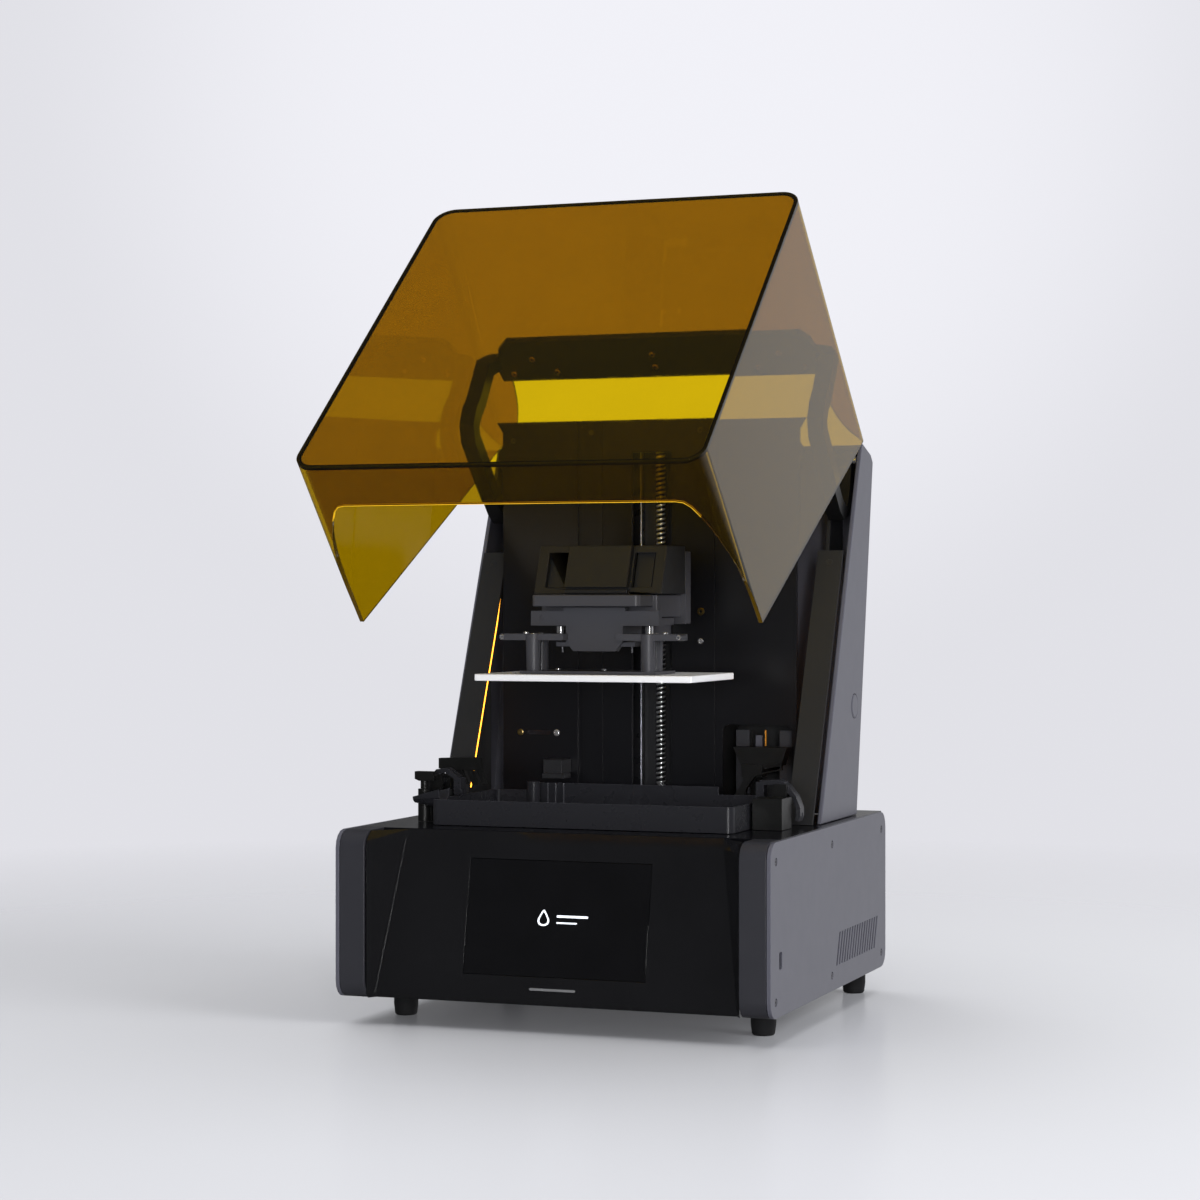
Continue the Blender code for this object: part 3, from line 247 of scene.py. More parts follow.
BRASS = finish("brass", (0.62, 0.45, 0.17), 0.28, 1.0, mottle=0.08, grain=1500.0)
RUBBER = finish("foot_rubber", (0.010, 0.010, 0.011), 0.75, mottle=0.2, grain=900.0,
                grain_depth=0.00012)
RECESS = finish("recess_slab", (0.035, 0.035, 0.040), 0.45, mottle=0.05)
BOARD = circuit_board("circuit_board")
# The walls take a darker amber than the front plate: painted shade on one amber sheet.
AMBER_FRONT = glass("lid_amber_front", (0.80, 0.545, 0.0004))
AMBER_WALL_SHADED = glass("lid_amber_wall_painted_shade", (0.395, 0.235, 0.0004))
# Opaque dark amber on the sheet's cut faces, where clear amber looks dark: painted shade.
AMBER_EDGE_SHADE = finish("lid_amber_edge_painted_shade", (0.090, 0.050, 0.003), 0.10, mottle=0.25, swing=0.03,
                    Coat_Weight=0.5, Coat_Roughness=0.05)
# Dark rod round the front plate's fold: painted shade.
EDGE_SHADE_LINE = finish("lid_edge_painted_shade_line", (0.006, 0.004, 0.002), 0.20, mottle=0.2)
FILM = glass("release_film", (0.84, 0.87, 0.90), 1.38, 0.05)
WARM = glow("light_strip", (1.0, 0.36, 0.03), 5.0)
# Glow along the lid's lower cut edge, no lamp: painted highlight.
RIM_HIGHLIGHT = glow("lid_rim_painted_highlight", (0.90, 0.52, 0.01), 0.38)
# Warm glow in the tower's recess, no lamp: painted glint.
AMBER_GLINT = glow("recess_painted_glint", (1.0, 0.42, 0.05), 0.12)
WHITE_MARK = glow("screen_mark", (0.80, 0.84, 0.90), 1.1)

SLOT_FINISH = {
    "case_paint": CASE, "front_strip": STRIP, "fascia_gloss": PIANO, "screen_glass": GLASS_BLACK,
    "deck_plastic": DECK, "tower_panel": PANEL, "trim_plastic": TRIM, "black_plastic": BLACK,
    "black_metal": DARK_METAL, "plate_aluminium": ALUMINIUM, "aluminium": MILL, "steel": STEEL,
    "brass": BRASS, "circuit_board": BOARD, "film": FILM, "foot_rubber": RUBBER,
    "lid_amber": AMBER_WALL_SHADED, "light_strip": WARM,
}


# ---------------------------------------------------------------- mesh helpers

def piece(name, bm, material, body, smooth=35.0):
    """Turn a bmesh in the frame's metres into a finished object that rides on a body."""
    mesh = bpy.data.meshes.new(name)
    bm.to_mesh(mesh)
    bm.free()
    for mat in material if isinstance(material, (list, tuple)) else [material]:
        mesh.materials.append(mat)
    mesh.shade_smooth()
    mesh.set_sharp_from_angle(angle=math.radians(smooth))
    obj = bpy.data.objects.new(name, mesh)
    bpy.context.scene.collection.objects.link(obj)
    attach(obj, body)
    return obj


def soften(obj, width, segments=2, limit=32.0):
    """Round an object's edges with a real bevel whose flats stay flat. Materials that have a
    lighter edge copy get it on the rounded edges, as a painted highlight."""
    mod = obj.modifiers.new("rounded_edges", "BEVEL")
    mod.width = width * MM
    mod.segments = segments
    mod.limit_method = "ANGLE"
    mod.angle_limit = math.radians(limit)
    mod.use_clamp_overlap = True
    mod.harden_normals = True
    obj.modifiers.new("even_shading", "WEIGHTED_NORMAL").keep_sharp = True
    edge = EDGE_HIGHLIGHT_FINISH.get(obj.data.materials[0].name)
    if edge:
        obj.data.materials.append(edge)
        mod.material = len(obj.data.materials) - 1


def flat_faces(bm):
    """Join the triangles of flat faces, so that bevels only meet real edges."""
    bmesh.ops.remove_doubles(bm, verts=bm.verts, dist=2e-6)
    bmesh.ops.dissolve_limit(bm, angle_limit=math.radians(0.4), verts=bm.verts, edges=bm.edges)


def dress(node, material=None, width=0.5, segments=2, limit=32.0, grooves=()):
    """A finished copy of a CAD node, with rounded edges and any grooves, standing for the node."""
    bm = bmesh.new()
    bm.from_mesh(frame["nodes"][node].data)
    flat_faces(bm)
    obj = piece(node + "_skin", bm, material or SLOT_FINISH[NODE_SLOT[node]], NODE_BODY[node])
    carve(obj, grooves)
    if width:
        soften(obj, width, segments, limit)
    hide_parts(node)
    return obj


def carve(obj, cutters):
    """Cut bmesh solids out of an object for good."""
    if not cutters:
        return
    helpers = []
    for cutter in cutters:
        mesh = bpy.data.meshes.new("cutter")
        cutter.to_mesh(mesh)
        cutter.free()
        helper = bpy.data.objects.new("cutter", mesh)
        bpy.context.scene.collection.objects.link(helper)
        mod = obj.modifiers.new("groove", "BOOLEAN")
        mod.operation = "DIFFERENCE"
        mod.solver = "EXACT"
        mod.object = helper
        helpers.append(helper)
    bake_modifiers(obj)
    for helper in helpers:
        bpy.data.objects.remove(helper, do_unlink=True)


def bake_modifiers(obj):
    """Replace an object's mesh by its modified one, with flat faces joined again."""
    graph = bpy.context.evaluated_depsgraph_get()
    mesh = bpy.data.meshes.new_from_object(obj.evaluated_get(graph))
    obj.modifiers.clear()
    obj.data = mesh
    bm = bmesh.new()
    bm.from_mesh(mesh)
    flat_faces(bm)
    bm.to_mesh(mesh)
    bm.free()
    mesh.shade_smooth()
    mesh.set_sharp_from_angle(angle=math.radians(35.0))


def box_bm(x0, x1, y0, y1, z0, z1):
    bm = bmesh.new()
    bmesh.ops.create_cube(bm, size=1.0)
    for vert in bm.verts:
        vert.co = at(x0 if vert.co.x < 0 else x1, y0 if vert.co.y < 0 else y1,
                     z0 if vert.co.z < 0 else z1)
    return bm


def closed_between(low_points, high_points):
    """Closed solid between two outlines with the same number of points."""
    bm = bmesh.new()
    low = [bm.verts.new(point) for point in low_points]
    high = [bm.verts.new(point) for point in high_points]
    bm.faces.new(low)
    bm.faces.new(high[::-1])
    for i in range(len(low)):
        bm.faces.new((low[i - 1], low[i], high[i], high[i - 1]))
    bmesh.ops.recalc_face_normals(bm, faces=bm.faces)
    return bm


def arc(cu, cv, radius, start, end, steps):
    """Points on a circle about (cu, cv), with the angles in degrees."""
    return [(cu + radius * math.cos(math.radians(start + (end - start) * i / steps)),
             cv + radius * math.sin(math.radians(start + (end - start) * i / steps)))
            for i in range(steps + 1)]


def rounded(u0, u1, v0, v1, radius, steps):
    """Outline of a rectangle with rounded corners."""
    return (arc(u1 - radius, v0 + radius, radius, -90, 0, steps)
            + arc(u1 - radius, v1 - radius, radius, 0, 90, steps)
            + arc(u0 + radius, v1 - radius, radius, 90, 180, steps)
            + arc(u0 + radius, v0 + radius, radius, 180, 270, steps))


def lathe_bm(profile, count):
    """Turn (radius, height) points about the local Z axis, in millimetres."""
    bm = bmesh.new()
    rings = []
    for radius, height in profile:
        if radius < 1e-6:
            rings.append([bm.verts.new((0.0, 0.0, height * MM))])
            continue
        rings.append([bm.verts.new((radius * MM * math.cos(2 * math.pi * i / count),
                                    radius * MM * math.sin(2 * math.pi * i / count),
                                    height * MM)) for i in range(count)])
    for low, high in zip(rings, rings[1:]):
        for i in range(count):
            ring = [low[i - 1] if len(low) > 1 else low[0], low[i] if len(low) > 1 else low[0],
                    high[i] if len(high) > 1 else high[0],
                    high[i - 1] if len(high) > 1 else high[0]]
            corners = list(dict.fromkeys(ring))
            if len(corners) > 2:
                bm.faces.new(corners)
    bmesh.ops.recalc_face_normals(bm, faces=bm.faces)
    return bm


def facing(centre, normal):
    """Matrix that stands a local +Z piece on a point, pointing along a direction."""
    turn = Vector(normal).to_track_quat("Z", "Y").to_matrix().to_4x4()
    return Matrix.Translation(centre) @ turn


SCREW_SIDES = 24


def screw_head(name, centre, normal, radius, body, material, height):
    """Socket head with a chamfered rim and a hexagonal recess."""
    rim = radius * 0.16
    bm = lathe_bm([(0.0, -0.2), (radius, -0.2), (radius, height - rim), (radius - rim, height),
                   (radius * 0.52, height)], SCREW_SIDES)
    outer = [vert for vert in bm.verts
             if abs(vert.co.z - height * MM) < 1e-7
             and vert.co.xy.length < radius * 0.6 * MM]
    outer.sort(key=lambda vert: math.atan2(vert.co.y, vert.co.x))
    hexagon = []
    for i in range(SCREW_SIDES):
        turn = 2 * math.pi * i / SCREW_SIDES
        inside = turn % (math.pi / 3) - math.pi / 6
        reach = radius * 0.44 * math.cos(math.pi / 6) / math.cos(inside)
        hexagon.append((reach * math.cos(turn), reach * math.sin(turn)))
    hexagon.sort(key=lambda point: math.atan2(point[1], point[0]))
    top = [bm.verts.new((x * MM, y * MM, height * MM)) for x, y in hexagon]
    deep = [bm.verts.new((x * MM, y * MM, (height - radius * 0.45) * MM)) for x, y in hexagon]
    for low, high in ((outer, top), (top, deep)):
        for i in range(SCREW_SIDES):
            bm.faces.new((low[i - 1], low[i], high[i], high[i - 1]))
    bm.faces.new(deep)
    bmesh.ops.recalc_face_normals(bm, faces=bm.faces)
    bmesh.ops.transform(bm, matrix=facing(centre, normal), verts=bm.verts)
    return piece(name, bm, material, body, smooth=30.0)


# ---------------------------------------------------------------- base

CASE_SIDE_X = 178.8      # where the side panels' screws are seated
REAR_Y = 342.0           # where the rear panel's screws are seated


def sunk_screws(side, sign):
    """The side panel's screws; gives the round sinks that they stand in."""
    sinks = []
    for y in (14.55, 172.35, 330.15):
        for z in (34.5, 140.5):
            spot = at(sign * CASE_SIDE_X, y, z)
            sink = lathe_bm([(0.0, -0.2), (3.1, -0.2), (3.1, 3.0), (0.0, 3.0)], 24)
            bmesh.ops.transform(sink, matrix=facing(spot, (sign, 0, 0)), verts=sink.verts)
            sinks.append(sink)
            screw_head(f"case_screw_{side}_{round(y)}_{round(z)}", spot, (sign, 0, 0), 2.7,
                       "machine", DARK_METAL, 0.95)
    return sinks


def rear_screws():
    for x in (-166.0, -60.0, 40.0, 166.0):
        for z in (54.0, 146.0):
            screw_head(f"rear_screw_{round(x)}_{round(z)}", at(x, REAR_Y, z), (0, 1, 0), 2.6,
                       "machine", DARK_METAL, 1.2)


def vent_shade_sheets():
    """Dark sheet behind the vents, painted shade for the dark inside of the case, so that
    daylight doesn't show through the case.
    """
    for side, sign in (("left", -1), ("right", 1)):
        liner = box_bm(*sorted((sign * 170.5, sign * 171.5)), 176.0, 330.0, 36.0, 72.0)
        soften(piece("vent_shade_sheet_" + side, liner, DECK, "machine"), 0.2)


def dress_base():
    for side, sign in (("left", -1), ("right", 1)):
        dress("side_panel_" + side, width=0.35, segments=2, grooves=sunk_screws(side, sign))
        dress("front_wrap_" + side, width=0.5, segments=3)
    dress("front_fascia", width=0.25, segments=2, limit=12.0)
    dress("touch_screen", width=0.3)
    dress("top_deck", width=0.4)
    dress("floor_pan", width=0.5)
    dress("rear_panel", width=0.3)
    for name in ("front_left", "front_right", "rear_left", "rear_right"):
        dress("foot_" + name, width=0.6, segments=2)
    rear_screws()
    vent_shade_sheets()


def fascia_y(z):
    """Depth of the sloping front panel at height z."""
    return 10.0 + (z - 26.0) * 22.0 / 121.0


def on_fascia(x, z, lift):
    """Point lifted off the sloping front panel."""
    return at(x, fascia_y(z) - lift, z)


def fascia_bar(name, x0, x1, z, height, lift, material):
    """Slim bar with rounded ends, lying on the sloping panel."""
    line = rounded(x0, x1, z - height / 2, z + height / 2, height * 0.45, 4)
    bm = closed_between([on_fascia(x, h, -0.1) for x, h in line],
                        [on_fascia(x, h, lift) for x, h in line])
    piece(name, bm, material, "machine")


def droplet_outline(x, z, steps=40):
    """Plain drop, narrower at the top."""
    outline = []
    for i in range(steps):
        turn = 2 * math.pi * i / steps
        up = max(0.0, math.sin(turn))
        width = 4.6 * (1.0 - 0.32 * math.sin(turn)) * (1.0 - 0.35 * up)
        height = 7.2 if up else 5.2
        outline.append((x + width * math.cos(turn), z + height * math.sin(turn)))
    return outline


def screen_marks():
    """Plain droplet and waiting bars on the screen, and a blank badge under it."""
    centre_x, centre_z = -11.0, 89.0
    outline = droplet_outline(centre_x, centre_z)
    inner = [(centre_x + (x - centre_x) * 0.72, centre_z + (z - centre_z) * 0.76)
             for x, z in outline]
    bm = bmesh.new()
    low_out, low_in, high_out, high_in = [
        [bm.verts.new(on_fascia(x, z, lift)) for x, z in line]
        for lift in (-0.1, 0.25) for line in (outline, inner)]
    for first, second in ((high_out, high_in), (low_in, low_out), (low_out, high_out),
                          (high_in, low_in)):
        for i in range(len(outline)):
            bm.faces.new((first[i - 1], first[i], second[i], second[i - 1]))
    bmesh.ops.recalc_face_normals(bm, faces=bm.faces)
    piece("screen_droplet", bm, WHITE_MARK, "machine")
    fascia_bar("screen_bar_0", 0.0, 26.0, 91.5, 1.7, 0.25, WHITE_MARK)
    fascia_bar("screen_bar_1", 0.0, 17.0, 86.5, 1.1, 0.25, WHITE_MARK)
    fascia_bar("fascia_badge", -19.0, 19.0, 35.3, 1.8, 0.35, STEEL)


# ---------------------------------------------------------------- inside the base

def dress_electronics():
    widths = {"light_hood": 0.3, "led_array": 0.3, "heat_sink": 0.3, "control_board": 0.3,
              "power_supply": 0.3, "fan_frame": 0.3, "z_motor": 0.3, "lcd_mask": 0.2,
              "power_inlet": 0.35, "power_switch": 0.5, "fan_rotor": 0.25}
    for node, width in widths.items():
        dress(node, width=width)


# ---------------------------------------------------------------- tower

PANEL_LOW, PANEL_HIGH = 158.0, 486.0
COVER_SLOPE = 0.1787     # how far the back cover moves back per millimetre of height
TRIM_SLOPE = 0.4205      # the same for the slanting cheek trims


def panel_seams():
    """A wide groove and two fine seams, cut down the tower's panel."""
    seams = ((-63.0, -58.4, 1.6, 6.0), (60.2, 61.0, 0.8, 0.0), (-40.4, -39.7, 0.7, 0.0))
    return [box_bm(x0, x1, PANEL_Y - 1.0, PANEL_Y + depth, PANEL_LOW, PANEL_HIGH + above)
            for x0, x1, depth, above in seams]


def panel_fittings():
    """Screws and lenses on the panel's face, and one screw in each cheek trim."""
    out = (0, -1, 0)
    screw_head("panel_screw_ring", at(48.2, PANEL_Y, 328.0), out, 3.2, "machine", BRASS, 1.0)
    screw_head("panel_screw_low", at(48.0, PANEL_Y, 303.0), out, 2.4, "machine", STEEL, 1.4)
    for i, (x, mat) in enumerate(((-116.2, BRASS), (-82.6, STEEL))):
        lens = lathe_bm([(0.0, 0.3), (1.2, 0.9), (2.3, 0.8), (2.9, 0.3), (3.0, -0.2), (0.0, -0.2)],
                        28)
        bmesh.ops.transform(lens, matrix=facing(at(x, PANEL_Y, 223.4), out), verts=lens.verts)
        piece(f"panel_lens_{i}", lens, mat, "machine")
    for i, (x, z) in enumerate(((-122.0, 474.0), (122.0, 474.0), (-50.0, 480.0), (48.0, 480.0))):
        screw_head(f"panel_corner_screw_{i}", at(x, PANEL_Y, z), out, 2.3, "machine", DARK_METAL,
                   1.0)
    lean = Vector((0.0, -0.922, 0.388))
    height = 369.5
    for side, sign in (("left", -1), ("right", 1)):
        spot = at(sign * 152.8, 171.5 + (height - 156.0) * TRIM_SLOPE, height)
        screw_head("trim_screw_" + side, spot - lean * 0.3 * MM, lean, 3.3, "machine", BLACK, 0.5)


def recess_insert():
    """Inside the recess: two upright slabs, a light box and a warm glowing line, a painted glint.
    """
    for name, x0, x1, z0, z1, mat in (("slab_left", 74.6, 86.5, 173.5, 228.0, RECESS),
                                      ("slab_right", 112.9, 125.0, 173.5, 228.0, RECESS),
                                      ("box", 91.8, 97.7, 213.9, 223.6, CASE),
                                      ("line", 100.1, 100.7, 214.6, 228.0, AMBER_GLINT)):
        inset = box_bm(x0, x1, 249.0, 252.0, z0, z1)
        soften(piece("recess_" + name, inset, mat, "machine"), 0.2)


def back_cover_screws():
    for x in (-150.0, 0.0, 150.0):
        for z in (170.0, 445.0) if x == 0.0 else (170.0, 310.0, 445.0):
            y = 291.5 + (z - 153.0) * COVER_SLOPE - 0.4
            screw_head(f"cover_screw_{round(x)}_{round(z)}", at(x, y, z), (0, 0.984, -0.176), 2.6,
                       "machine", DARK_METAL, 1.0)


def dress_tower():
    dress("tower_front_panel", width=0.4, grooves=panel_seams())
    for side in ("left", "right"):
        dress("tower_shell_" + side, width=0.8, segments=3)
        dress("cheek_trim_" + side, width=0.4)
        dress("led_strip_" + side, width=0.15).visible_glossy = False
        dress("hinge_pin_" + side, width=0.3)
    dress("tower_back_cover", width=0.6)
    # The column takes the black finish in place of its aluminium one, dark as it sits in the
    # channel behind the panel: painted shade.
    dress("tower_column", BLACK, width=0.5)
    dress("linear_rail", RAIL, width=0.7)
    dress("side_button", width=0.3)
    dress("feed_recess", width=0.5)
    dress("feed_funnel", HINGE_BLACK, width=0.6)
    dress("screw_bearing", width=0.3)
    panel_fittings()
    recess_insert()
    back_cover_screws()


def screw_thread():
    """The real helical thread, as strips that each follow the one before."""
    low, high = SCREW_LOW + 4.0, SCREW_HIGH - 3.0
    root, crest = 3.15, 3.98
    steps = 20
    flight = ((0.0, root), (0.10, root), (0.28, crest), (0.55, crest), (0.73, root))
    count = int((high - low) / SCREW_LEAD * steps)
    bm = bmesh.new()
    lines = []
    for share, radius in flight:
        line = []
        for i in range(count + 1):
            turn = 2 * math.pi * i / steps
            z = low + SCREW_LEAD * (i / steps + share - 1.0)
            z = min(max(z, SCREW_LOW + 0.5), high)
            line.append(bm.verts.new(at(SCREW_X + radius * math.cos(turn),
                                        SCREW_Y + radius * math.sin(turn), z)))
        lines.append(line)
    # Crest strips take the near-white finish, the rest the near-black one: painted highlight and
    # painted shade.
    for strip, (first, second) in enumerate(zip(lines, lines[1:])):
        for i in range(count):
            face = bm.faces.new((first[i], first[i + 1], second[i + 1], second[i]))
            face.material_index = 0 if strip in (1, 2) else 1
    last, following = lines[-1], lines[0][steps:]
    for i in range(len(following) - 1):
        bm.faces.new((last[i], last[i + 1], following[i + 1], following[i])).material_index = 1
    thread = piece("lead_screw_thread", bm, [THREAD_CREST_HIGHLIGHT, THREAD_ROOT_SHADE], "screw", 40.0)
    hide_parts("lead_screw")


def lead_screw():
    """Turned screw with its thread, on its coupler and motor shaft."""
    screw_thread()
    core = lathe_bm([(0.0, 152.2), (2.5, 152.2), (2.5, 158.0), (7.4, 158.0), (8.0, 158.6),
                     (8.0, 167.4), (7.2, 168.2), (8.0, 169.0), (8.0, 177.4), (7.4, SCREW_LOW),
                     (3.1, SCREW_LOW), (3.1, 466.0), (2.9, 466.2), (2.9, 468.6),
                     (2.5, SCREW_HIGH), (0.0, SCREW_HIGH)], 28)
    bmesh.ops.transform(core, matrix=Matrix.Translation(at(SCREW_X, SCREW_Y, 0.0)),
                        verts=core.verts)
    piece("lead_screw_core", core, STEEL, "screw", 40.0)
    screw_head("coupler_screw", at(SCREW_X, SCREW_Y - 7.9, 172.5), (0, -1, 0), 1.4, "screw",
               DARK_METAL, 0.1)


# ---------------------------------------------------------------- carriage and platform

FRAME_TOP_Z = 310.4      # where the platform frame's upright screws are seated


def platform_screws():
    """Bright screws of the platform frame and the levelling head, and three on the plate."""
    up, out = (0, 0, 1), (0, -1, 0)
    for side, sign in (("left", -1), ("right", 1)):
        screw_head("levelling_cap_" + side, at(sign * 38.5, 130.0, 310.2), up, 3.4, "platform",
                   STEEL, 6.7)
        screw_head("bar_pin_" + side, at(sign * 60.0, 107.0, FRAME_TOP_Z), up, 2.4, "platform",
                   STEEL, 1.6)
        for y in (97.0, 113.6):
            screw_head(f"leg_screw_{side}_{round(y)}", at(sign * 49.3, y, FRAME_TOP_Z), up, 2.6,
                       "platform", STEEL, 0.6)
        screw_head("knob_screw_" + side, at(sign * 75.6, 93.5, 307.9), out, 2.0, "platform",
                   STEEL, 0.4)
        screw_head("head_screw_" + side, at(sign * 46.0, 105.1, 323.0), out, 2.1, "carriage",
                   DARK_METAL, 0.4)
    for x in (-40.0, 0.0, 40.0):
        screw_head(f"plate_screw_{round(x)}", at(x, 128.0, 280.5), up, 2.2, "platform", STEEL, 1.2)


def dress_carriage():
    for node in ("rail_slider", "screw_nut"):
        dress(node, width=0.4)
    dress("carriage_arm", width=0.9, segments=3)
    dress("carriage_cover", width=0.7, segments=3)
    dress("levelling_head", width=0.9, segments=3)
    dress("platform_frame", width=0.7, segments=3)
    dress("build_plate", width=0.5, segments=2)
    platform_screws()


# ---------------------------------------------------------------- vat and clamps

def dress_vat():
    dress("resin_vat", VAT_METAL, width=0.6, segments=3)
    dress("release_film", width=0.0)
    dress("level_sensor", width=0.4)
    for side in ("left", "right"):
        dress("clamp_block_" + side, HINGE_BLACK, width=0.4)
        dress("clamp_lever_" + side, VAT_METAL, width=0.7, segments=3)
    dress("latch_handle", HINGE_BLACK, width=0.9, segments=3)


# ---------------------------------------------------------------- lid

ARC_STEPS = 10           # steps round each corner of the outline
LOW_STEPS = (0.975, 0.95, 0.92, 0.88, 0.5)       # shares of the half width along the low edge
LOW_KEEP = (0.33, 0.275, 0.245, 0.238, 0.237)    # how far the wall reaches back at each of them
REAR_RADII = (10.0, 4.0)
BAR_DEPTH = 7.35         # from the wall's inner face to the hinge bar's lower face


def ring_points(half_top, half_low, length, radius_top, radius_low):
    """Rounded outline of the lid, seen along its depth, as (x, distance from the top)."""
    turns = [math.pi / 2 * i / ARC_STEPS for i in range(ARC_STEPS + 1)]
    points = [(half_top - radius_top + radius_top * math.sin(turn),
               radius_top - radius_top * math.cos(turn)) for turn in turns]
    points += [(half_low - radius_low + radius_low * math.cos(turn),
                length - radius_low + radius_low * math.sin(turn)) for turn in turns]
    points += [(share * (half_low - radius_low), length) for share in LOW_STEPS]
    return points + [(-x, s) for x, s in points[::-1]]


def side_keep():
    """How far the walls reach back at each point of the outline: a curve cut from the bottom."""
    sweep = [1.0 - 0.59 * (i / ARC_STEPS) ** 0.82 for i in range(1, ARC_STEPS + 1)]
    return [1.0] * (ARC_STEPS + 2) + sweep + list(LOW_KEEP)


def tube(name, points, radius, material, closed=False):
    """Thin rod along points, riding on the lid."""
    curve = bpy.data.curves.new(name, "CURVE")
    curve.dimensions = "3D"
    curve.bevel_depth = radius * MM
    curve.bevel_resolution = 2
    curve.use_fill_caps = True
    spline = curve.splines.new("POLY")
    spline.points.add(len(points) - 1)
    for knot, point in zip(spline.points, points):
        knot.co = (*point, 1.0)
    spline.use_cyclic_u = closed
    curve.materials.append(material)
    rod = bpy.data.objects.new(name, curve)
    bpy.context.scene.collection.objects.link(rod)
    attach(rod, "lid")


def lid_frame():
    """Lengths of the lid's front and rear openings, and the directions of its faces."""
    (a_y, a_z, _), (b_y, b_z, _), (c_y, c_z, _), (d_y, d_z, _) = LID_A, LID_B, LID_C, LID_D
    along = (at(0, a_y, a_z) - at(0, b_y, b_z)).normalized()
    return {"front": math.hypot(a_y - d_y, a_z - d_z), "rear": math.hypot(b_y - c_y, b_z - c_z),
            "down": Vector((0.0, d_y - a_y, d_z - a_z)).normalized(),
            "out": -Vector((0.0, a_z - d_z, d_y - a_y)).normalized(),
            "along": along, "in": Vector((0.0, -along.z, along.y)),
            "up": Vector((0.0, 0.676, 0.737))}


LID = lid_frame()


def on_top_wall(x, distance, depth):
    """Point on the lid's top wall: distance from its rear edge, depth under its face."""
    return (at(0, *LID_B[:2]) + Vector((x * MM, 0, 0)) + LID["along"] * distance * MM
            + LID["in"] * depth * MM)


def between_corners(x, first, second, share):
    """Point at a share of the way from one corner of the lid to another."""
    return at(x, first[0] + (second[0] - first[0]) * share,
              first[1] + (second[1] - first[1]) * share)


def lid_grid():
    """Rows of points over the lid's walls, from the front plate's outline to the cut edge."""
    front = ring_points(LID_A[2], LID_D[2], LID["front"], LID_R, LID_R)
    rear = ring_points(LID_B[2], LID_C[2], LID["rear"], *REAR_RADII)
    keep = side_keep()
    keep += keep[::-1]
    rows = 6
    grid = [[] for _ in range(rows + 1)]
    for reach, (x0, s0), (x1, s1) in zip(keep, front, rear):
        start = between_corners(x0, LID_A, LID_D, s0 / LID["front"])
        end = between_corners(x1, LID_B, LID_C, s1 / LID["rear"])
        for step, row in enumerate(grid):
            row.append(start.lerp(end, reach * step / rows))
    return grid


def notch_cutter(ambers):
    """Solid that cuts the lid's top wall free of the tower's panel."""
    half = [(138.2, NOTCH_S), (138.8, 62.0), (140.0, 50.0), (141.5, 41.0), (143.5, 33.0),
            (146.3, 24.0), (150.0, 16.0), (155.5, 7.5), (162.5, 0.0), (162.5, -12.0)]
    notch = [(-x, s) for x, s in half] + half[::-1]
    bm = closed_between([on_top_wall(x, s, -4.0) for x, s in notch],
                        [on_top_wall(x, s, LID_T + 2.2) for x, s in notch])
    # The notch's cut faces take the dark edge amber: painted shade.
    for face in bm.faces:
        face.material_index = 2
    mesh = bpy.data.meshes.new("notch")
    bm.to_mesh(mesh)
    bm.free()
    for mat in ambers:
        mesh.materials.append(mat)
    cutter = bpy.data.objects.new("notch", mesh)
    bpy.context.scene.collection.objects.link(cutter)
    return cutter


def lid_sheet(grid):
    """The amber sheet with its wall thickness, and the notch for the tower's panel."""
    bm = bmesh.new()
    rows = [[bm.verts.new(point) for point in row] for row in grid]
    plate = bm.faces.new(rows[0])
    plate.material_index = 1
    for low, high in zip(rows, rows[1:]):
        for k in range(len(low)):
            bm.faces.new((low[k - 1], low[k], high[k], high[k - 1]))
    bmesh.ops.recalc_face_normals(bm, faces=bm.faces)
    if plate.normal.dot(LID["out"]) < 0.0:
        bmesh.ops.reverse_faces(bm, faces=bm.faces)
    # Walls take the darker amber, the front plate the lighter one and the cut faces the dark edge
    # amber: painted shade on one sheet.
    ambers = [AMBER_WALL_SHADED, AMBER_FRONT, AMBER_EDGE_SHADE]
    lid = piece("lid_glass", bm, ambers, "lid")
    wall = lid.modifiers.new("wall", "SOLIDIFY")
    wall.thickness = LID_T * MM
    wall.offset = -1.0
    wall.use_even_offset = True
    wall.material_offset_rim = 2

    cutter = notch_cutter(ambers)
    slot = lid.modifiers.new("notch", "BOOLEAN")
    slot.object = cutter
    slot.solver = "EXACT"
    slot.material_mode = "INDEX"
    graph = bpy.context.evaluated_depsgraph_get()
    made = bpy.data.meshes.new_from_object(lid.evaluated_get(graph))
    lid.modifiers.clear()
    lid.data = made
    bpy.data.objects.remove(cutter, do_unlink=True)
    made.shade_smooth()
    made.set_sharp_from_angle(angle=math.radians(28.0))
    soften(lid, 0.5, 2, 50.0)
    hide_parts("lid_shell")


def lid_lines(cut_edge):
    """Dark line round the front plate, painted shade at its fold, and glowing rods along the lower
    cut edge, a painted highlight of the light it catches.
    """
    depth = 1.9
    inset = ring_points(LID_A[2] - depth, LID_D[2] - depth, LID["front"] - 2 * depth,
                        LID_R - depth, LID_R - depth)
    origin = at(0, *LID_A[:2]) + (LID["down"] * depth - LID["out"] * depth) * MM
    line = [origin + Vector((x * MM, 0, 0)) + LID["down"] * s * MM for x, s in inset]
    tube("lid_edge_painted_shade_line", line, 1.8, EDGE_SHADE_LINE, closed=True)
    lower = cut_edge[2 * ARC_STEPS + 2:-2 * ARC_STEPS - 2]
    for name, depth in (("outer", 0.3), ("inner", LID_T - 0.3)):
        line = [point + LID["up"] * depth * MM for point in lower]
        tube("lid_rim_" + name, line, 0.42, RIM_HIGHLIGHT)


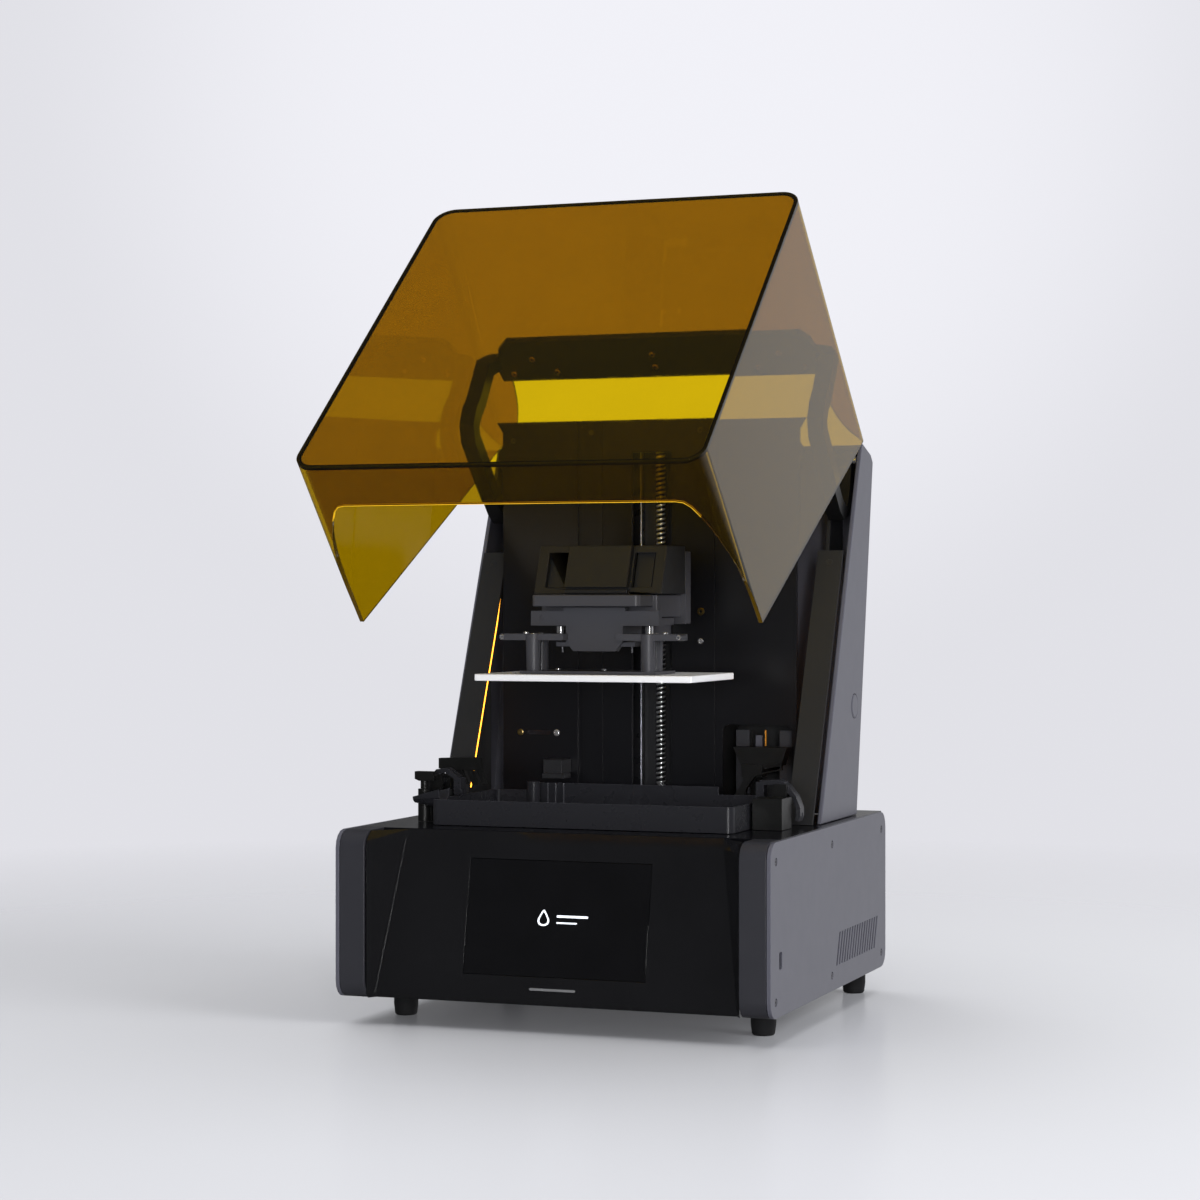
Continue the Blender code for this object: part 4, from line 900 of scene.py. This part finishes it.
def lid_hinge():
    """Hinge bar with its screws, the arms, and the bends that join them."""
    dress("hinge_bar", HINGE_BLACK, width=0.8, segments=3)
    for side in ("left", "right"):
        dress("hinge_arm_" + side, HINGE_BLACK, width=1.2, segments=3)
    places = [(-130.5, 84), (130.5, 84), (-110, 99), (110, 99), (-90, 85), (90, 85), (0.5, 100),
              (0.5, 87)]
    for i, (x, s) in enumerate(places):
        screw_head(f"bar_screw_{i}", on_top_wall(x, s, LID_T + BAR_DEPTH), LID["in"], 2.7, "lid",
                   BRASS, 1.0)
    bend = [(147.4, 18.6), (140.0, 10.6), (140.0, 3.9), *arc(147.0, 17.4, 13.5, -90, 0, 8)]
    for side, sign in (("left", -1), ("right", 1)):
        bm = closed_between([on_top_wall(sign * x, 88.0, depth) for x, depth in bend],
                            [on_top_wall(sign * x, 102.0, depth) for x, depth in bend])
        soften(piece("hinge_bend_" + side, bm, HINGE_BLACK, "lid"), 1.0, 3, 50.0)


def build_lid():
    grid = lid_grid()
    lid_sheet(grid)
    lid_lines(grid[-1])
    lid_hinge()


# ---------------------------------------------------------------- studio

def area_light(name, place, target, size, power, colour=(1.0, 1.0, 1.0), glossy=True):
    data = bpy.data.lights.new(name, "AREA")
    data.shape = "RECTANGLE"
    data.size, data.size_y = size
    data.energy = power
    data.color = colour
    obj = bpy.data.objects.new(name, data)
    obj.visible_glossy = glossy
    obj.visible_transmission = False
    obj.location = place
    obj.rotation_euler = (Vector(target) - Vector(place)).to_track_quat("-Z", "Y").to_euler()
    bpy.context.scene.collection.objects.link(obj)


def studio_floor():
    """Pale floor with a soft sheen that fades into the surroundings."""
    bm = bmesh.new()
    bmesh.ops.create_circle(bm, cap_ends=True, segments=96, radius=6.0)
    mesh = bpy.data.meshes.new("floor")
    bm.to_mesh(mesh)
    bm.free()
    floor = bpy.data.objects.new("floor", mesh)
    bpy.context.scene.collection.objects.link(floor)
    made = Surface("studio_floor", Roughness=0.22, Specular_IOR_Level=0.5)
    made.shader.inputs["Base Color"].default_value = (0.79, 0.795, 0.83, 1.0)
    distance = made.node("ShaderNodeVectorMath", operation="LENGTH")
    made.link(made.coords, distance.inputs[0])
    fade = made.remap(distance.outputs["Value"], 0.35, 1.7, 0.96, 0.0)
    made.set("Alpha", fade)
    mesh.materials.append(made.mat)
    floor.visible_glossy = False


def surroundings():
    """Pale world: even to the eye and through the lid; in gloss, bright at the back right."""
    world = bpy.data.worlds.new("studio")
    bpy.context.scene.world = world
    world.use_nodes = True
    nodes, links = world.node_tree.nodes, world.node_tree.links
    nodes.clear()

    def backdrop(colour, strength):
        made = nodes.new("ShaderNodeBackground")
        made.inputs["Color"].default_value = (*colour, 1.0)
        if isinstance(strength, bpy.types.NodeSocket):
            links.new(strength, made.inputs["Strength"])
        else:
            made.inputs["Strength"].default_value = strength
        return made.outputs[0]

    def mixed(share, first, second):
        made = nodes.new("ShaderNodeMixShader")
        links.new(share, made.inputs[0])
        links.new(first, made.inputs[1])
        links.new(second, made.inputs[2])
        return made.outputs[0]

    rays = nodes.new("ShaderNodeLightPath")
    seen = nodes.new("ShaderNodeMath")
    seen.operation = "MAXIMUM"
    links.new(rays.outputs["Is Camera Ray"], seen.inputs[0])
    links.new(rays.outputs["Is Transmission Ray"], seen.inputs[1])
    coords = nodes.new("ShaderNodeTexCoord")

    def toward(direction, low, high, out_low, out_high):
        """Smooth ramp over how far a ray points in a direction."""
        dot = nodes.new("ShaderNodeVectorMath")
        dot.operation = "DOT_PRODUCT"
        dot.inputs[1].default_value = Vector(direction).normalized()
        links.new(coords.outputs["Generated"], dot.inputs[0])
        ramp = nodes.new("ShaderNodeMapRange")
        ramp.interpolation_type = "SMOOTHSTEP"
        for key, value in (("From Min", low), ("From Max", high), ("To Min", out_low),
                           ("To Max", out_high)):
            ramp.inputs[key].default_value = value
        links.new(dot.outputs["Value"], ramp.inputs["Value"])
        return ramp.outputs["Result"]

    def product(first, second):
        made = nodes.new("ShaderNodeMath")
        made.operation = "MULTIPLY"
        links.new(first, made.inputs[0])
        links.new(second, made.inputs[1])
        return made.outputs[0]

    mirror = backdrop((0.98, 0.98, 1.0), toward((0.45, 0.89, 0.0), 0.50, 0.95, 0.05, 0.62))
    halo = toward((-0.32, 0.93, 0.19), 0.972, 1.0, 1.0, 1.17)
    ceiling = toward((0.0, 0.0, 1.0), 0.40, 0.85, 1.0, 0.30)
    surround = backdrop((0.755, 0.755, 0.80), product(halo, ceiling))
    soft = backdrop((0.95, 0.97, 1.0), 0.20)
    unseen = mixed(rays.outputs["Is Glossy Ray"], soft, mirror)
    out = nodes.new("ShaderNodeOutputWorld")
    links.new(mixed(seen.outputs[0], unseen, surround), out.inputs["Surface"])


def lights():
    area_light("key_right", (3.0, -0.6, 1.5), (0.1, 0.1, 0.2), (1.6, 2.0), 75.0,
               (0.97, 0.98, 1.0), glossy=False)
    area_light("top_soft", (-0.5, -0.1, 2.6), (-0.1, 0.0, 0.2), (3.4, 3.4), 72.0, glossy=False)
    area_light("front_low", (0.1, -3.0, 0.42), (0.0, 0.0, 0.38), (1.6, 0.5), 30.0,
               (0.95, 0.97, 1.0), glossy=False)
    area_light("glint_right", (1.30, -2.75, 0.50), (0.0, 0.1, 0.33), (0.22, 1.3), 24.0)
    area_light("back_left", (-2.0, 2.4, 1.8), (0.0, 0.1, 0.3), (1.8, 1.8), 26.0, glossy=False)


def photo_camera():
    """Level camera with the place, turn and lens that match the photo."""
    data = bpy.data.cameras.new("camera")
    data.lens = 82.07
    data.sensor_width = 36.0
    camera = bpy.data.objects.new("camera", data)
    camera.location = (0.7714, -2.0800, 0.3378)
    camera.rotation_euler = (math.radians(90.0), 0.0, math.radians(20.33))
    bpy.context.scene.collection.objects.link(camera)
    bpy.context.scene.camera = camera
    bpy.context.scene.view_settings.view_transform = "Standard"


dress_base()
screen_marks()
dress_electronics()
dress_tower()
lead_screw()
dress_carriage()
dress_vat()
build_lid()
studio_floor()
surroundings()
lights()
photo_camera()
